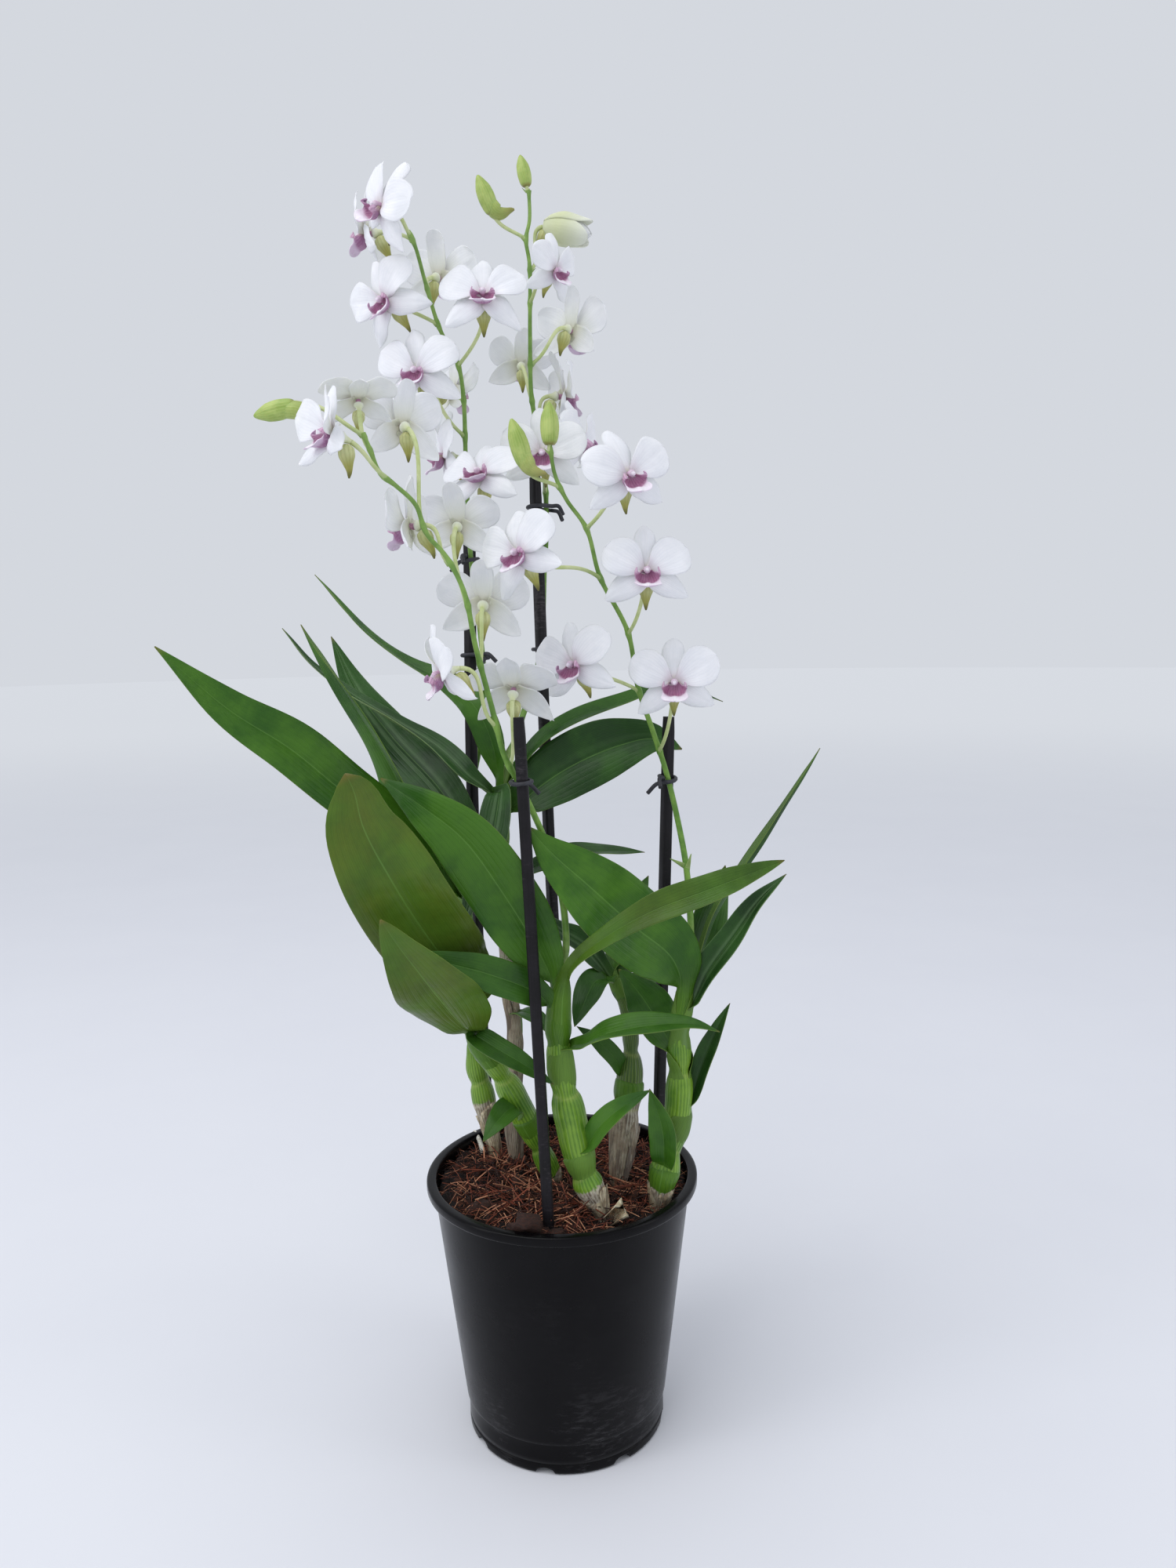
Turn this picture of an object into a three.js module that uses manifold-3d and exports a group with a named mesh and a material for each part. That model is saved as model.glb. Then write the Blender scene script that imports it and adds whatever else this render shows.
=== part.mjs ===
// A white and mauve dendrobium orchid in a round black nursery pot.
//
// Millimetres, +Z up. The origin is the centre of the pot's underside, and -Y is the front.
// Six canes grow out of bark and coir. Four of them carry a spray of blooms, tied to thin stakes.
// Each cane is one solid with its leaves, each spray one solid with its pedicels and buds, and
// each bloom a solid of its own, held 0.3 mm off the end of its pedicel.

import * as THREE from 'three';
import { mergeVertices } from 'three/addons/utils/BufferGeometryUtils.js';
import Module from 'manifold-3d';

const wasm = await Module();
wasm.setup();

// ------------------------------------------------------------------ driving dimensions

const SEAT_GAP = 0.3; // between two pieces that touch
const MERGE_DISTANCE = 1e-4;

const POT = {
  height: 135,
  rimRadius: 70,
  lipDepth: 5, // how far the rolled lip hangs below the rim
  mouthRadius: 65, // inside, just under the rim
  footRadius: 51.5,
  footHeight: 17, // the wall steps out by a millimetre above the foot
  wall: 1.8,
  floor: 2.5,
  drainSlots: 8,
  drainSlotWidth: 10,
  drainSlotHeight: 3.5,
  sides: 28,
};

const MIX = { surface: 129, wallGap: 0.35, relief: 1, chips: 9, fibres: 8, seed: 11, sides: 18 };

const STAKE = { side: 5.2, corner: 1.3 };

const TIE = { wire: 1.5, sides: 4, steps: 13, tail: 8 };

const BLOOM_SPAN = 46; // from the tip of one petal to the tip of the other
const TEPAL_THICKNESS = 0.7;
const LEAF_THICKNESS = 0.9;
const CANE_FOOT = 113; // the canes stand this high above the bench, in the mix
const FLOWER_STEM = { foot: 1.9, tip: 1.1 }; // radius
const PEDICEL_RADIUS = 1.1;

// Stakes, from their foot in the mix to their top.
const STAKES = {
  stake_a: [[-37, 37, 60], [-42, 42, 150], [-45, 42, 315], [-42, 40, 477]],
  stake_b: [[2, 50, 60], [-1, 54, 170], [-5, 50, 307], [-8, 44, 492]],
  stake_c: [[-3, -50.5, 60], [-14, -50, 375]],
  stake_d: [[48, 7, 60], [58, 12, 369]],
};

// Leaves: midrib from the cane outwards, widest width, the way the upper face looks, the angle
// that its halves are folded up by and the angle that the blade turns by on its way to the tip.
// Canes: path from the mix up, and the radius at fractions of the whole length.
const CANES = {
  cane_1: {
    path: [[20, -38, 130], [12, -38, 150], [6, -38, 178], [1, -38, 210], [1, -38, 233], [3, -38, 252]],
    girth: [[0, 6.5], [0.12, 7.4], [0.24, 7.2], [0.3, 6.6], [0.42, 8], [0.54, 7.4], [0.6, 6.4],
      [0.76, 5.8], [0.9, 4.8], [1, 3.4]],
    leaves: [
      { midrib: [[2, -39, 238], [-7, -41, 262], [-24, -43, 293], [-41, -47, 319], [-59, -46, 334],
        [-79, -40, 347]], width: 34, face: [-0.1, -1, 0.15], fold: 8 },
      { midrib: [[1, -38, 230], [-9, -44, 244], [-30, -49, 255], [-50, -52, 262], [-67, -54, 268]],
        width: 18, face: [0.1, -0.9, 0.4], fold: 10 },
      { midrib: [[3, -39, 240], [8, -50, 259], [23, -61, 275], [44, -66, 288], [69, -65, 297],
        [87, -62, 303], [105, -58, 309]], width: 22, face: [-0.3, -0.8, 0.5], fold: 14 },
      { midrib: [[1, -38, 210], [10, -42, 216], [22, -50, 225], [42, -58, 232], [62, -62, 234],
        [75, -64, 231]], width: 16, face: [0, -0.45, 0.9], fold: 20 },
      { midrib: [[9, -38, 160], [14, -43, 168], [20, -49, 180], [31, -52, 191], [44, -50, 198]],
        width: 13, face: [-0.3, -0.7, 0.6], fold: 16 },
    ],
  },
  cane_2: {
    path: [[49, -26, 130], [52, -26, 147], [58, -24, 171], [60, -22, 194], [60, -22, 219],
      [62, -22, 231], [64, -22, 248]],
    girth: [[0, 7], [0.12, 7.6], [0.25, 7], [0.32, 5.9], [0.45, 6.8], [0.56, 6.4], [0.64, 5.2],
      [0.76, 5], [0.9, 3.8], [1, 3]],
    leaves: [
      { midrib: [[63, -23, 232], [56, -32, 256], [37, -40, 275], [16, -45, 296], [-1, -45.5, 312],
        [-11, -45, 324]], width: 38, face: [0.15, -0.95, 0.25], fold: 6 },
      { midrib: [[64, -22, 238], [76, -8, 270], [93, 0, 296], [115, 6, 325], [134, 10, 352]],
        width: 12, face: [0.7, -0.4, -0.5], fold: 28 },
      { midrib: [[64, -22, 234], [72, -6, 256], [79, 2, 274], [86, 8, 293]],
        width: 22, face: [0.3, -0.9, 0.1], fold: 12 },
      { midrib: [[62, -22, 222], [67, -24, 232], [74, -29, 249], [87, -31, 268], [98, -31, 284],
        [111, -28, 296]], width: 17, face: [-0.6, -0.7, 0.3], fold: 30 },
      { midrib: [[59, -23, 172], [65, -22, 180], [70, -20, 194], [78, -16, 212], [86, -12, 227]],
        width: 12, face: [-0.5, -0.8, 0.2], fold: 26 },
      { midrib: [[60, -23, 202], [52, -10, 213], [43, 0, 226], [31, 6, 240]],
        width: 26, face: [0.35, -0.8, 0.5], fold: 10 },
      { midrib: [[51, -27, 146], [51, -36, 158], [50, -39, 174], [44, -39, 194]],
        width: 15, face: [-0.3, -0.9, 0.3], fold: 18 },
    ],
  },
  cane_3: {
    path: [[-5, -4, 131], [-10, -8, 148], [-19, -12, 171], [-29, -16, 193], [-39, -20, 211],
      [-43, -22, 224]],
    girth: [[0, 5.2], [0.12, 5.8], [0.26, 5.4], [0.34, 5], [0.5, 6.4], [0.64, 5.8], [0.72, 4.8],
      [0.88, 4.2], [1, 3]],
    leaves: [
      { midrib: [[-42, -22, 218], [-43, -26, 241], [-51, -38, 257], [-62, -53, 281], [-71, -63, 302],
        [-82, -70, 329], [-85, -73, 346], [-88, -75, 356]], width: 46, face: [-0.1, -0.9, 0.4],
        fold: 7 },
      { midrib: [[-39, -22, 215], [-44, -36, 225], [-51, -53, 242], [-59, -67, 260], [-68, -77, 278],
        [-74, -83, 291]], width: 34, face: [-0.4, -0.75, 0.5], fold: 9 },
      { midrib: [[-39, -21, 212], [-40, -31, 219], [-28, -40, 215], [-15, -43, 208], [-2, -44, 199]],
        width: 13, face: [0.3, -0.8, 0.6], fold: 14 },
      { midrib: [[-17, -11, 168], [-23, -21, 178], [-30, -32, 176], [-37, -38, 168]],
        width: 14, face: [-0.1, -0.8, 0.7], fold: 12 },
    ],
  },
  cane_4: {
    path: [[-37, 30, 130], [-41, 29, 151], [-43, 29, 165], [-47, 30, 187], [-48, 30, 210],
      [-49, 31, 236], [-49, 32, 276]],
    girth: [[0, 4.4], [0.1, 5.2], [0.2, 4.6], [0.3, 6.6], [0.4, 6.2], [0.47, 4], [0.62, 3.8],
      [0.8, 3.4], [1, 2.8]],
    leaves: [
      { midrib: [[-49, 30, 262], [-75, 4, 309], [-105, -12, 339], [-125, -20, 359],
        [-152, -26, 379], [-183, -30, 409]], width: 33, face: [0.35, -0.75, 0.6], fold: 9 },
      { midrib: [[-49, 30, 265], [-68, 14, 311], [-81, 4, 346], [-100, 0, 382], [-112, -2, 403],
        [-121, -4, 418]], width: 34, face: [-0.3, -0.9, 0.2], fold: 18, twist: -35 },
    ],
  },
  cane_5: {
    path: [[-25, 20, 130], [-26, 20, 148], [-26, 22, 165], [-24, 24, 190], [-25, 26, 212],
      [-28, 28, 228], [-28, 29, 249], [-29, 29, 292], [-28, 28, 330], [-26, 30, 343]],
    girth: [[0, 4.2], [0.1, 4.4], [0.2, 3.7], [0.32, 4], [0.42, 3.4], [0.6, 3.6], [0.8, 3.3],
      [1, 2.8]],
    leaves: [
      { midrib: [[-29, 28, 288], [-44, 28, 306], [-63, 41, 331], [-90, 63, 356], [-111, 75, 382],
        [-125, 82, 411]], width: 26, face: [0.2, -1, 0.1], fold: 10 },
      { midrib: [[-28, 28, 318], [-46, 25, 338], [-62, 35, 352], [-83, 47, 364], [-114, 59, 382],
        [-134, 67, 397], [-150, 74, 416]], width: 17, face: [0.35, -0.55, 0.8], fold: 26 },
      { midrib: [[-28, 28, 322], [-32, 27, 354], [-41, 30, 374], [-57, 42, 386], [-79, 54, 397],
        [-106, 68, 417], [-132, 80, 445]], width: 17, face: [-0.6, -0.75, 0.3], fold: 16,
        twist: 50 },
      { midrib: [[-28, 28, 325], [-18, 32, 344], [-6, 36, 357], [10, 44, 366], [35, 57, 373],
        [65, 66, 381], [92, 70, 372]], width: 13, face: [0, -0.45, 0.9], fold: 18 },
      { midrib: [[-28, 28, 315], [-8, 31, 332], [11, 36, 343], [34, 38, 352], [52, 40, 355],
        [67, 42, 349]], width: 36, face: [0.1, -0.9, 0.4], fold: 12 },
      { midrib: [[-28, 28, 320], [-28, 17, 331], [-31, 6, 314], [-37, 0, 294], [-43, -4, 279],
        [-47, -6, 266]], width: 19, face: [-0.3, -0.9, 0.3], fold: 12 },
      { midrib: [[-29, 29, 278], [-14, 34, 287], [-4, 37, 290], [10, 47, 292], [27, 60, 291],
        [48, 70, 288]],
        width: 17, face: [0, -0.4, 0.9], fold: 16 },
      { midrib: [[-26, 27, 208], [-19, 14, 215], [-9, 4, 213], [-1, -4, 205]],
        width: 10, face: [0.2, -0.6, 0.8], fold: 14 },
    ],
  },
  cane_6: {
    path: [[29, -6, 130], [32, 0, 152], [35, 6, 171], [37, 10, 195], [35, 14, 215], [27, 18, 235]],
    girth: [[0, 6.6], [0.14, 7.2], [0.3, 6.4], [0.4, 5.4], [0.55, 5.8], [0.68, 4.4], [0.84, 3.6],
      [1, 2.6]],
    leaves: [
      { midrib: [[28, 17, 230], [13, 14, 250], [1, 8, 260], [-8, 2, 271]],
        width: 16, face: [0.4, -0.7, 0.6], fold: 20 },
      { midrib: [[29, 17, 231], [19, 4, 234], [13, -6, 226], [8, -12, 216]],
        width: 17, face: [-0.3, -0.7, 0.6], fold: 14 },
      { midrib: [[29, 17, 229], [38, 26, 239], [47, 30, 232], [57, 32, 220]],
        width: 15, face: [0.2, -0.6, 0.8], fold: 12 },
      { midrib: [[28, 18, 232], [34, 34, 251], [42, 44, 266], [49, 50, 279]],
        width: 18, face: [0, -0.7, 0.7], fold: 14 },
      { midrib: [[35, 9, 178], [28, 2, 194], [19, -2, 205], [9, -3, 213]],
        width: 11, face: [0.3, -0.8, 0.5], fold: 12 },
    ],
  },
};

// Sprays: the flower stem from the top of its cane to its own tip, the heights at which pedicels
// leave it, the way each bloom looks and its roll. A bloom's place is the centre of its face.
const SPRAYS = {
  spray_a: {
    cane: 'cane_4',
    path: [[-50, 41, 296], [-47, 49, 325], [-41, 49, 352], [-37, 43, 382], [-38, 38, 413],
      [-41, 33, 447], [-42, 30, 490], [-42, 26, 531], [-44, 24, 544], [-52, 22, 560],
      [-58, 20, 581], [-62, 18, 597], [-65, 16, 604]],
    blooms: {
      bloom_a1: { at: [-75, 1, 610], from: 602, facing: [-0.75, -0.6, 0.1], roll: -35 },
      bloom_a2: { at: [-88, 36, 609], from: 600, facing: [-0.9, 0.1, -0.1], roll: 0 },
      bloom_a3: { at: [-77, 12, 571], from: 562, facing: [-0.55, -0.8, -0.05], roll: 25 },
      bloom_a4: { at: [-54, 46, 590], from: 578, facing: [0.4, 0.85, 0.1], roll: 0 },
      bloom_a5: { at: [-29, 2, 570], from: 543, facing: [0.05, -0.9, 0.35], roll: 0 },
      bloom_a6: { at: [-62, 8, 537], from: 510, facing: [-0.35, -0.9, 0.15], roll: 5 },
      bloom_a7: { at: [-49, 48, 535], from: 527, facing: [0.75, 0.6, -0.25], roll: 0, span: 42 },
      bloom_a8: { at: [-53, 34, 501], from: 486, facing: [-0.9, -0.25, 0], roll: 0 },
      bloom_a9: { at: [-33, 4, 488], from: 466, facing: [-0.3, -0.8, 0.5], roll: 8 },
    },
    buds: [],
  },
  spray_b: {
    cane: 'cane_5',
    path: [[-21, 38, 356], [-17, 46, 369], [-11, 54, 384], [-8, 55, 401], [-6, 54, 417],
      [-4.5, 53, 443], [-3, 52, 463], [-3, 50, 490], [-6, 48, 512], [-9, 48, 533], [-9, 48, 563],
      [-8.5, 48, 597], [-10, 48, 609], [-8, 48, 618], [-8, 48, 632]],
    blooms: {
      bloom_b1: { at: [6, 51, 611], from: 594, facing: [0.95, -0.1, -0.2], roll: 0, span: 40, cup: 62 },
      bloom_b2: { at: [4, 28, 589], from: 578, facing: [0.7, -0.65, -0.1], roll: 0, span: 38 },
      bloom_b3: { at: [12, 66, 568], from: 548, facing: [0.5, 0.8, -0.1], roll: 0 },
      bloom_b4: { at: [-16, 76, 553], from: 530, facing: [-0.25, 0.9, 0.2], roll: 0, span: 40 },
      bloom_b5: { at: [7, 60, 534], from: 520, facing: [0.93, 0.25, -0.05], roll: 0 },
      bloom_b6: { at: [16, 44, 508], from: 500, facing: [0.9, -0.3, 0], roll: 8 },
      bloom_b7: { at: [-3, 22, 500], from: 484, facing: [-0.1, -0.97, 0], roll: 0 },
    },
    buds: [
      { from: 632, base: [-9, 48, 634], tip: [-12, 48, 649] },
      { from: 609, base: [-26, 44, 620], tip: [-33, 40, 637], spur: [-17, 45, 622] },
    ],
  },
  spray_c: {
    cane: 'cane_1',
    path: [[5, -38, 263], [4, -37, 286], [-2, -37, 311], [-9, -40, 330], [-15, -43, 344],
      [-21, -46, 357], [-26, -50, 380], [-32, -54, 407], [-36, -58, 431], [-43, -60, 446],
      [-51, -62, 456], [-55, -64, 468], [-63, -66, 476], [-69, -68, 481], [-72, -70, 489],
      [-75, -71, 497]],
    blooms: {
      bloom_c1: { at: [-84, -92, 494], from: 479, facing: [-0.6, -0.7, 0.4], roll: 15 },
      bloom_c2: { at: [-79, -57, 513], from: 490, facing: [-0.15, 0.5, 0.8], roll: 0, span: 36 },
      bloom_c3: { at: [-64, -36, 505], from: 459, facing: [-0.5, 0.75, 0.2], roll: 0, span: 44 },
      bloom_c4: { at: [-60, -50, 460], from: 443, facing: [-0.9, 0.25, -0.1], roll: 0 },
      bloom_c5: { at: [-41, -24, 462], from: 425, facing: [0.1, 0.97, 0.2], roll: 0, span: 42 },
      bloom_c6: { at: [-30, -30, 426], from: 399, facing: [0, 0.98, 0.2], roll: 0 },
      bloom_c7: { at: [-46, -64, 396], from: 371, facing: [-0.75, -0.5, -0.35], roll: 0 },
      bloom_c8: { at: [-17, -32, 387], from: 352, facing: [0.05, 0.75, 0.65], roll: 0 },
    },
    buds: [
      { from: 496, base: [-90, -68, 507], tip: [-112, -68, 507], spur: [-82, -70, 500] },
    ],
  },
  spray_d: {
    cane: 'cane_2',
    path: [[66, -18, 261], [65, -8, 294], [61, 2, 320], [56, 5, 342], [50, 2, 361], [42, -4, 385],
      [37, -12, 412], [24, -18, 438], [18, -22, 460], [9, -25, 473], [4, -27, 484], [2, -28, 497]],
    blooms: {
      bloom_d1: { at: [37, -44, 481], from: 460, facing: [0.4, -0.9, 0.1], roll: 10 },
      bloom_d2: { at: [45, -37, 439], from: 411, facing: [0.02, -0.97, 0.2], roll: 0 },
      bloom_d3: { at: [58, -26, 388], from: 353, facing: [-0.05, -0.98, 0.1], roll: 0 },
      bloom_d4: { at: [11, -26, 397], from: 383, facing: [-0.5, -0.8, 0.1], roll: 15 },
      bloom_d5: { at: [-12, -55, 447], from: 437, facing: [-0.5, -0.8, 0.15], roll: 20 },
    },
    buds: [
      { from: 494, base: [2, -28, 497], tip: [2, -28, 516] },
      { from: 478, base: [-9, -31, 487], tip: [-15, -33, 508], spur: [-1, -32, 484] },
    ],
  },
};

// Wire ties: the stake and the stem that each one loops round, and its height.
const TIES = {
  tie_a_low: { stake: 'stake_a', stem: 'spray_a', height: 400 },
  tie_a_high: { stake: 'stake_a', stem: 'spray_a', height: 450 },
  tie_b_low: { stake: 'stake_b', stem: 'spray_b', height: 403 },
  tie_b_high: { stake: 'stake_b', stem: 'spray_b', height: 476 },
  tie_c: { stake: 'stake_c', stem: 'spray_c', height: 345 },
  tie_d: { stake: 'stake_d', stem: 'spray_d', height: 338 },
};

// ------------------------------------------------------------------ solids and meshes

const vec = (point) => new THREE.Vector3(...point);
const route = (points) => new THREE.CatmullRomCurve3(points.map(vec), false, 'centripetal');

// Six times the volume that the triangles enclose, negative where they face inwards.
function enclosed(position, triangles) {
  const [a, b, c] = [new THREE.Vector3(), new THREE.Vector3(), new THREE.Vector3()];
  let sum = 0;
  for (let i = 0; i < triangles.length; i += 3) {
    a.fromBufferAttribute(position, triangles[i]);
    b.fromBufferAttribute(position, triangles[i + 1]);
    c.fromBufferAttribute(position, triangles[i + 2]);
    sum += a.dot(b.cross(c));
  }
  return sum;
}

// A closed geometry as a solid. Points that coincide are merged, and slivers that this closes go.
function toSolid(geometry) {
  const bare = new THREE.BufferGeometry();
  bare.setAttribute('position', geometry.getAttribute('position'));
  bare.setIndex(geometry.index);
  const { index, attributes } = mergeVertices(bare, MERGE_DISTANCE);
  const triangles = [];
  for (let i = 0; i < index.count; i += 3) {
    const corners = [index.getX(i), index.getX(i + 1), index.getX(i + 2)];
    if (new Set(corners).size === 3) triangles.push(...corners);
  }
  if (enclosed(attributes.position, triangles) < 0) triangles.reverse();
  return new wasm.Manifold(new wasm.Mesh({
    numProp: 3,
    vertProperties: attributes.position.array,
    triVerts: Uint32Array.from(triangles),
  }));
}

function toGeometry(solid) {
  const { vertProperties, triVerts } = solid.getMesh();
  const geometry = new THREE.BufferGeometry();
  geometry.setAttribute('position', new THREE.Float32BufferAttribute(vertProperties, 3));
  geometry.setIndex(Array.from(triVerts));
  return geometry;
}

const join = (solids) => solids.reduce((whole, solid) => whole.add(solid));

// The largest body of a solid, without the crumbs that a cut or a join leaves beside it.
const largest = (solid) => solid.decompose().reduce((kept, other) => (
  other.volume() > kept.volume() ? other : kept));

// ------------------------------------------------------------------ shapes

// Frames at fractions of a curve, each turned as little as possible from the one before it.
function carriedFrames(curve, stops) {
  const start = curve.getTangentAt(0);
  const along = Math.abs(start.x) < 0.8 ? new THREE.Vector3(1, 0, 0) : new THREE.Vector3(0, 1, 0);
  let normal = along;
  return stops.map((stop) => {
    const tangent = curve.getTangentAt(stop);
    normal = normal.clone().addScaledVector(tangent, -normal.dot(tangent)).normalize();
    return { origin: curve.getPointAt(stop), normal, side: tangent.clone().cross(normal) };
  });
}

// A round stem along a curve, turned on a lathe and then bent. `girth` holds its radius at
// fractions of its length.
function stem(curve, girth, sides) {
  const stops = [0, ...girth.map(([stop]) => stop), 1];
  const radii = [0, ...girth.map(([, radius]) => radius), 0];
  const profile = stops.map((stop, ring) => new THREE.Vector2(radii[ring], stop));
  const geometry = new THREE.LatheGeometry(profile, sides);
  const frames = carriedFrames(curve, stops);
  const { position } = geometry.attributes;
  for (let i = 0; i < position.count; i += 1) {
    const { origin, normal, side } = frames[i % frames.length];
    const point = origin.clone();
    point.addScaledVector(normal, position.getX(i)).addScaledVector(side, position.getZ(i));
    position.setXYZ(i, point.x, point.y, point.z);
  }
  return toSolid(geometry);
}

// A thin sheet: every point has a front and a back copy, and both faces are split into
// triangles alike, so they never cross.
function makeSheet(thickness) {
  const points = [];
  const index = [];
  return {
    put(middle, up) {
      points.push(middle.clone().addScaledVector(up, thickness / 2));
      points.push(middle.clone().addScaledVector(up, -thickness / 2));
      return points.length / 2 - 1;
    },
    patch(a, b, c) {
      index.push(2 * a, 2 * b, 2 * c, 2 * a + 1, 2 * c + 1, 2 * b + 1);
    },
    wall(a, b) {
      index.push(2 * b, 2 * a, 2 * a + 1, 2 * b, 2 * a + 1, 2 * b + 1);
    },
    // A strip through rows of points that lie across it, with a wall along each edge.
    strip(rows) {
      for (let i = 0; i + 1 < rows.length; i += 1) {
        const [near, far] = [rows[i], rows[i + 1]];
        for (let j = 0; j + 1 < near.length; j += 1) {
          this.patch(near[j], near[j + 1], far[j + 1]);
          this.patch(near[j], far[j + 1], far[j]);
        }
        this.wall(far[0], near[0]);
        this.wall(near[near.length - 1], far[far.length - 1]);
      }
      this.end(rows[rows.length - 1]);
    },
    end(row) {
      for (let j = row.length - 1; j > 0; j -= 1) this.wall(row[j], row[j - 1]);
    },
    solid() {
      return toSolid(new THREE.BufferGeometry().setFromPoints(points).setIndex(index));
    },
  };
}

// Rows of a blade on a midrib. `outline` holds its share of the full width at fractions of its
// length, and `ribs` the places across it that carry points, from -1 to 1 at its edges.
function bladeRows(sheet, { midrib, outline, width, face, fold = 0, twist = 0, ribs = [-1, 0, 1] }) {
  const curve = route(midrib);
  const lean = THREE.MathUtils.degToRad(fold);
  return outline.map(([stop, share]) => {
    const tangent = curve.getTangentAt(stop);
    const up = vec(face).applyAxisAngle(tangent, THREE.MathUtils.degToRad(twist * stop));
    up.addScaledVector(tangent, -up.dot(tangent)).normalize();
    const side = tangent.clone().cross(up);
    return ribs.map((rib) => {
      const reach = (rib * share * width) / 2;
      const point = curve.getPointAt(stop).addScaledVector(side, reach * Math.cos(lean));
      return sheet.put(point.addScaledVector(up, Math.abs(reach) * Math.sin(lean)), up);
    });
  });
}

function blade(shape, thickness) {
  const sheet = makeSheet(thickness);
  const rows = bladeRows(sheet, shape);
  sheet.strip(rows);
  sheet.end([...rows[0]].reverse());
  return sheet.solid();
}

// A ring of revolution about Z from [radius, height] pairs that start and end on the axis.
function turned(pairs, sides) {
  const profile = pairs.map(([radius, height]) => new THREE.Vector2(radius, height));
  return new THREE.LatheGeometry(profile, sides).rotateX(Math.PI / 2);
}

// ------------------------------------------------------------------ pot and potting mix

function wallRadius(height) {
  const share = (height - POT.footHeight) / (POT.height - POT.footHeight);
  return THREE.MathUtils.lerp(POT.footRadius + 1.2, POT.mouthRadius + POT.wall, Math.max(share, 0));
}

function pot() {
  const lipFoot = POT.height - POT.lipDepth;
  const outside = [
    [0, 0], [POT.footRadius - 1, 0], [POT.footRadius, 1], [POT.footRadius, POT.footHeight - 1],
    [wallRadius(POT.footHeight), POT.footHeight], [wallRadius(lipFoot), lipFoot],
    [POT.rimRadius, lipFoot], [POT.rimRadius, POT.height - 1], [POT.rimRadius - 1, POT.height],
  ];
  const inside = [
    [POT.mouthRadius, POT.height], [POT.mouthRadius - 0.3, lipFoot],
    [wallRadius(POT.footHeight) - POT.wall, POT.footHeight],
    [POT.footRadius - POT.wall, POT.footHeight - 1], [POT.footRadius - POT.wall, POT.floor],
    [0, POT.floor],
  ];
  const shell = toSolid(turned([...outside, ...inside], POT.sides));
  const slots = Array.from({ length: POT.drainSlots }, (_, i) => {
    const slot = new THREE.CylinderGeometry(POT.drainSlotWidth / 2, POT.drainSlotWidth / 2, 14, 8);
    slot.rotateZ(Math.PI / 2).scale(1, 1, (2 * POT.drainSlotHeight) / POT.drainSlotWidth);
    slot.translate(POT.footRadius, 0, 0).rotateZ(((i + 0.75) / POT.drainSlots) * 2 * Math.PI);
    return toSolid(slot);
  });
  return slots.reduce((body, slot) => body.subtract(slot), shell);
}

// Bark and coir: a filling with an uneven top, and chips and fibres that lie half sunk in it.
function pottingMix(holes) {
  let draw = MIX.seed;
  const random = (low, high) => {
    draw += 1;
    return low + (high - low) * (Math.abs(Math.sin(draw * 127.1) * 43758.5453) % 1);
  };
  const bottom = POT.floor + MIX.wallGap;
  const gap = POT.wall + MIX.wallGap + 0.25;
  const edge = wallRadius(MIX.surface) - gap;
  const filling = turned([
    [0, bottom], [POT.footRadius - gap, bottom], [POT.footRadius - gap, POT.footHeight - 1],
    [wallRadius(POT.footHeight) - gap, POT.footHeight + 1.5], [edge, MIX.surface - 1],
    [edge * 0.82, MIX.surface], [edge * 0.58, MIX.surface], [edge * 0.3, MIX.surface],
    [0, MIX.surface],
  ], MIX.sides);
  const { position } = filling.attributes;
  const point = new THREE.Vector3();
  for (let i = 0; i < position.count; i += 1) {
    point.fromBufferAttribute(position, i);
    if (point.z > MIX.surface - 0.5) {
      const { x, y } = point;
      const wave = Math.sin(x * 0.21 + 1) + Math.sin(y * 0.27) + Math.sin((x - y) * 0.4);
      position.setZ(i, point.z + MIX.relief * wave);
    }
  }
  const lie = (geometry, reach) => {
    const radius = Math.sqrt(random(0.01, 1)) * (edge - reach);
    const bearing = random(0, 2 * Math.PI);
    const rise = MIX.surface + random(0.4, 1.8);
    geometry.rotateZ(random(0, Math.PI));
    return toSolid(geometry.translate(radius * Math.cos(bearing), radius * Math.sin(bearing), rise));
  };
  const chips = Array.from({ length: MIX.chips }, () => {
    const chip = new THREE.BoxGeometry(random(8, 14), random(5, 8), random(3, 5));
    return lie(chip.rotateX(random(-0.5, 0.5)).rotateY(random(-0.5, 0.5)), 8);
  });
  const fibres = Array.from({ length: MIX.fibres }, () => {
    const fibre = new THREE.CylinderGeometry(0.7, 0.9, random(16, 28), 3);
    return lie(fibre.rotateX(random(-0.16, 0.16)), 14);
  });
  const heap = join([toSolid(filling), ...chips, ...fibres]);
  return largest(holes.reduce((body, hole) => body.subtract(hole), heap));
}

// ------------------------------------------------------------------ stakes and ties

// A bent stake has a step for each of its points, and a straight one needs only one.
const stakeSteps = ({ length }) => (length > 2 ? length : 1);

// A square stake with rounded corners, grown by `gap` all round for the hole that it stands in.
function stake(points, gap = 0) {
  const half = STAKE.side / 2 + gap;
  const flat = half - STAKE.corner;
  const section = new THREE.Shape([
    [half, flat], [flat, half], [-flat, half], [-half, flat],
    [-half, -flat], [-flat, -half], [flat, -half], [half, -flat],
  ].map(([x, y]) => new THREE.Vector2(x, y)));
  const [[x, y, foot], ...rest] = points;
  const extrudePath = route([[x, y, foot - gap], ...rest]);
  const steps = stakeSteps(points);
  return toSolid(new THREE.ExtrudeGeometry(section, { steps, bevelEnabled: false, extrudePath }));
}

// The point at a height on a chain of points that only climbs.
function atHeight(points, height) {
  const above = points.findIndex(({ z }) => z >= height);
  const [low, high] = [points[above - 1], points[above]];
  return low.clone().lerp(high, (height - low.z) / (high.z - low.z));
}

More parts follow.
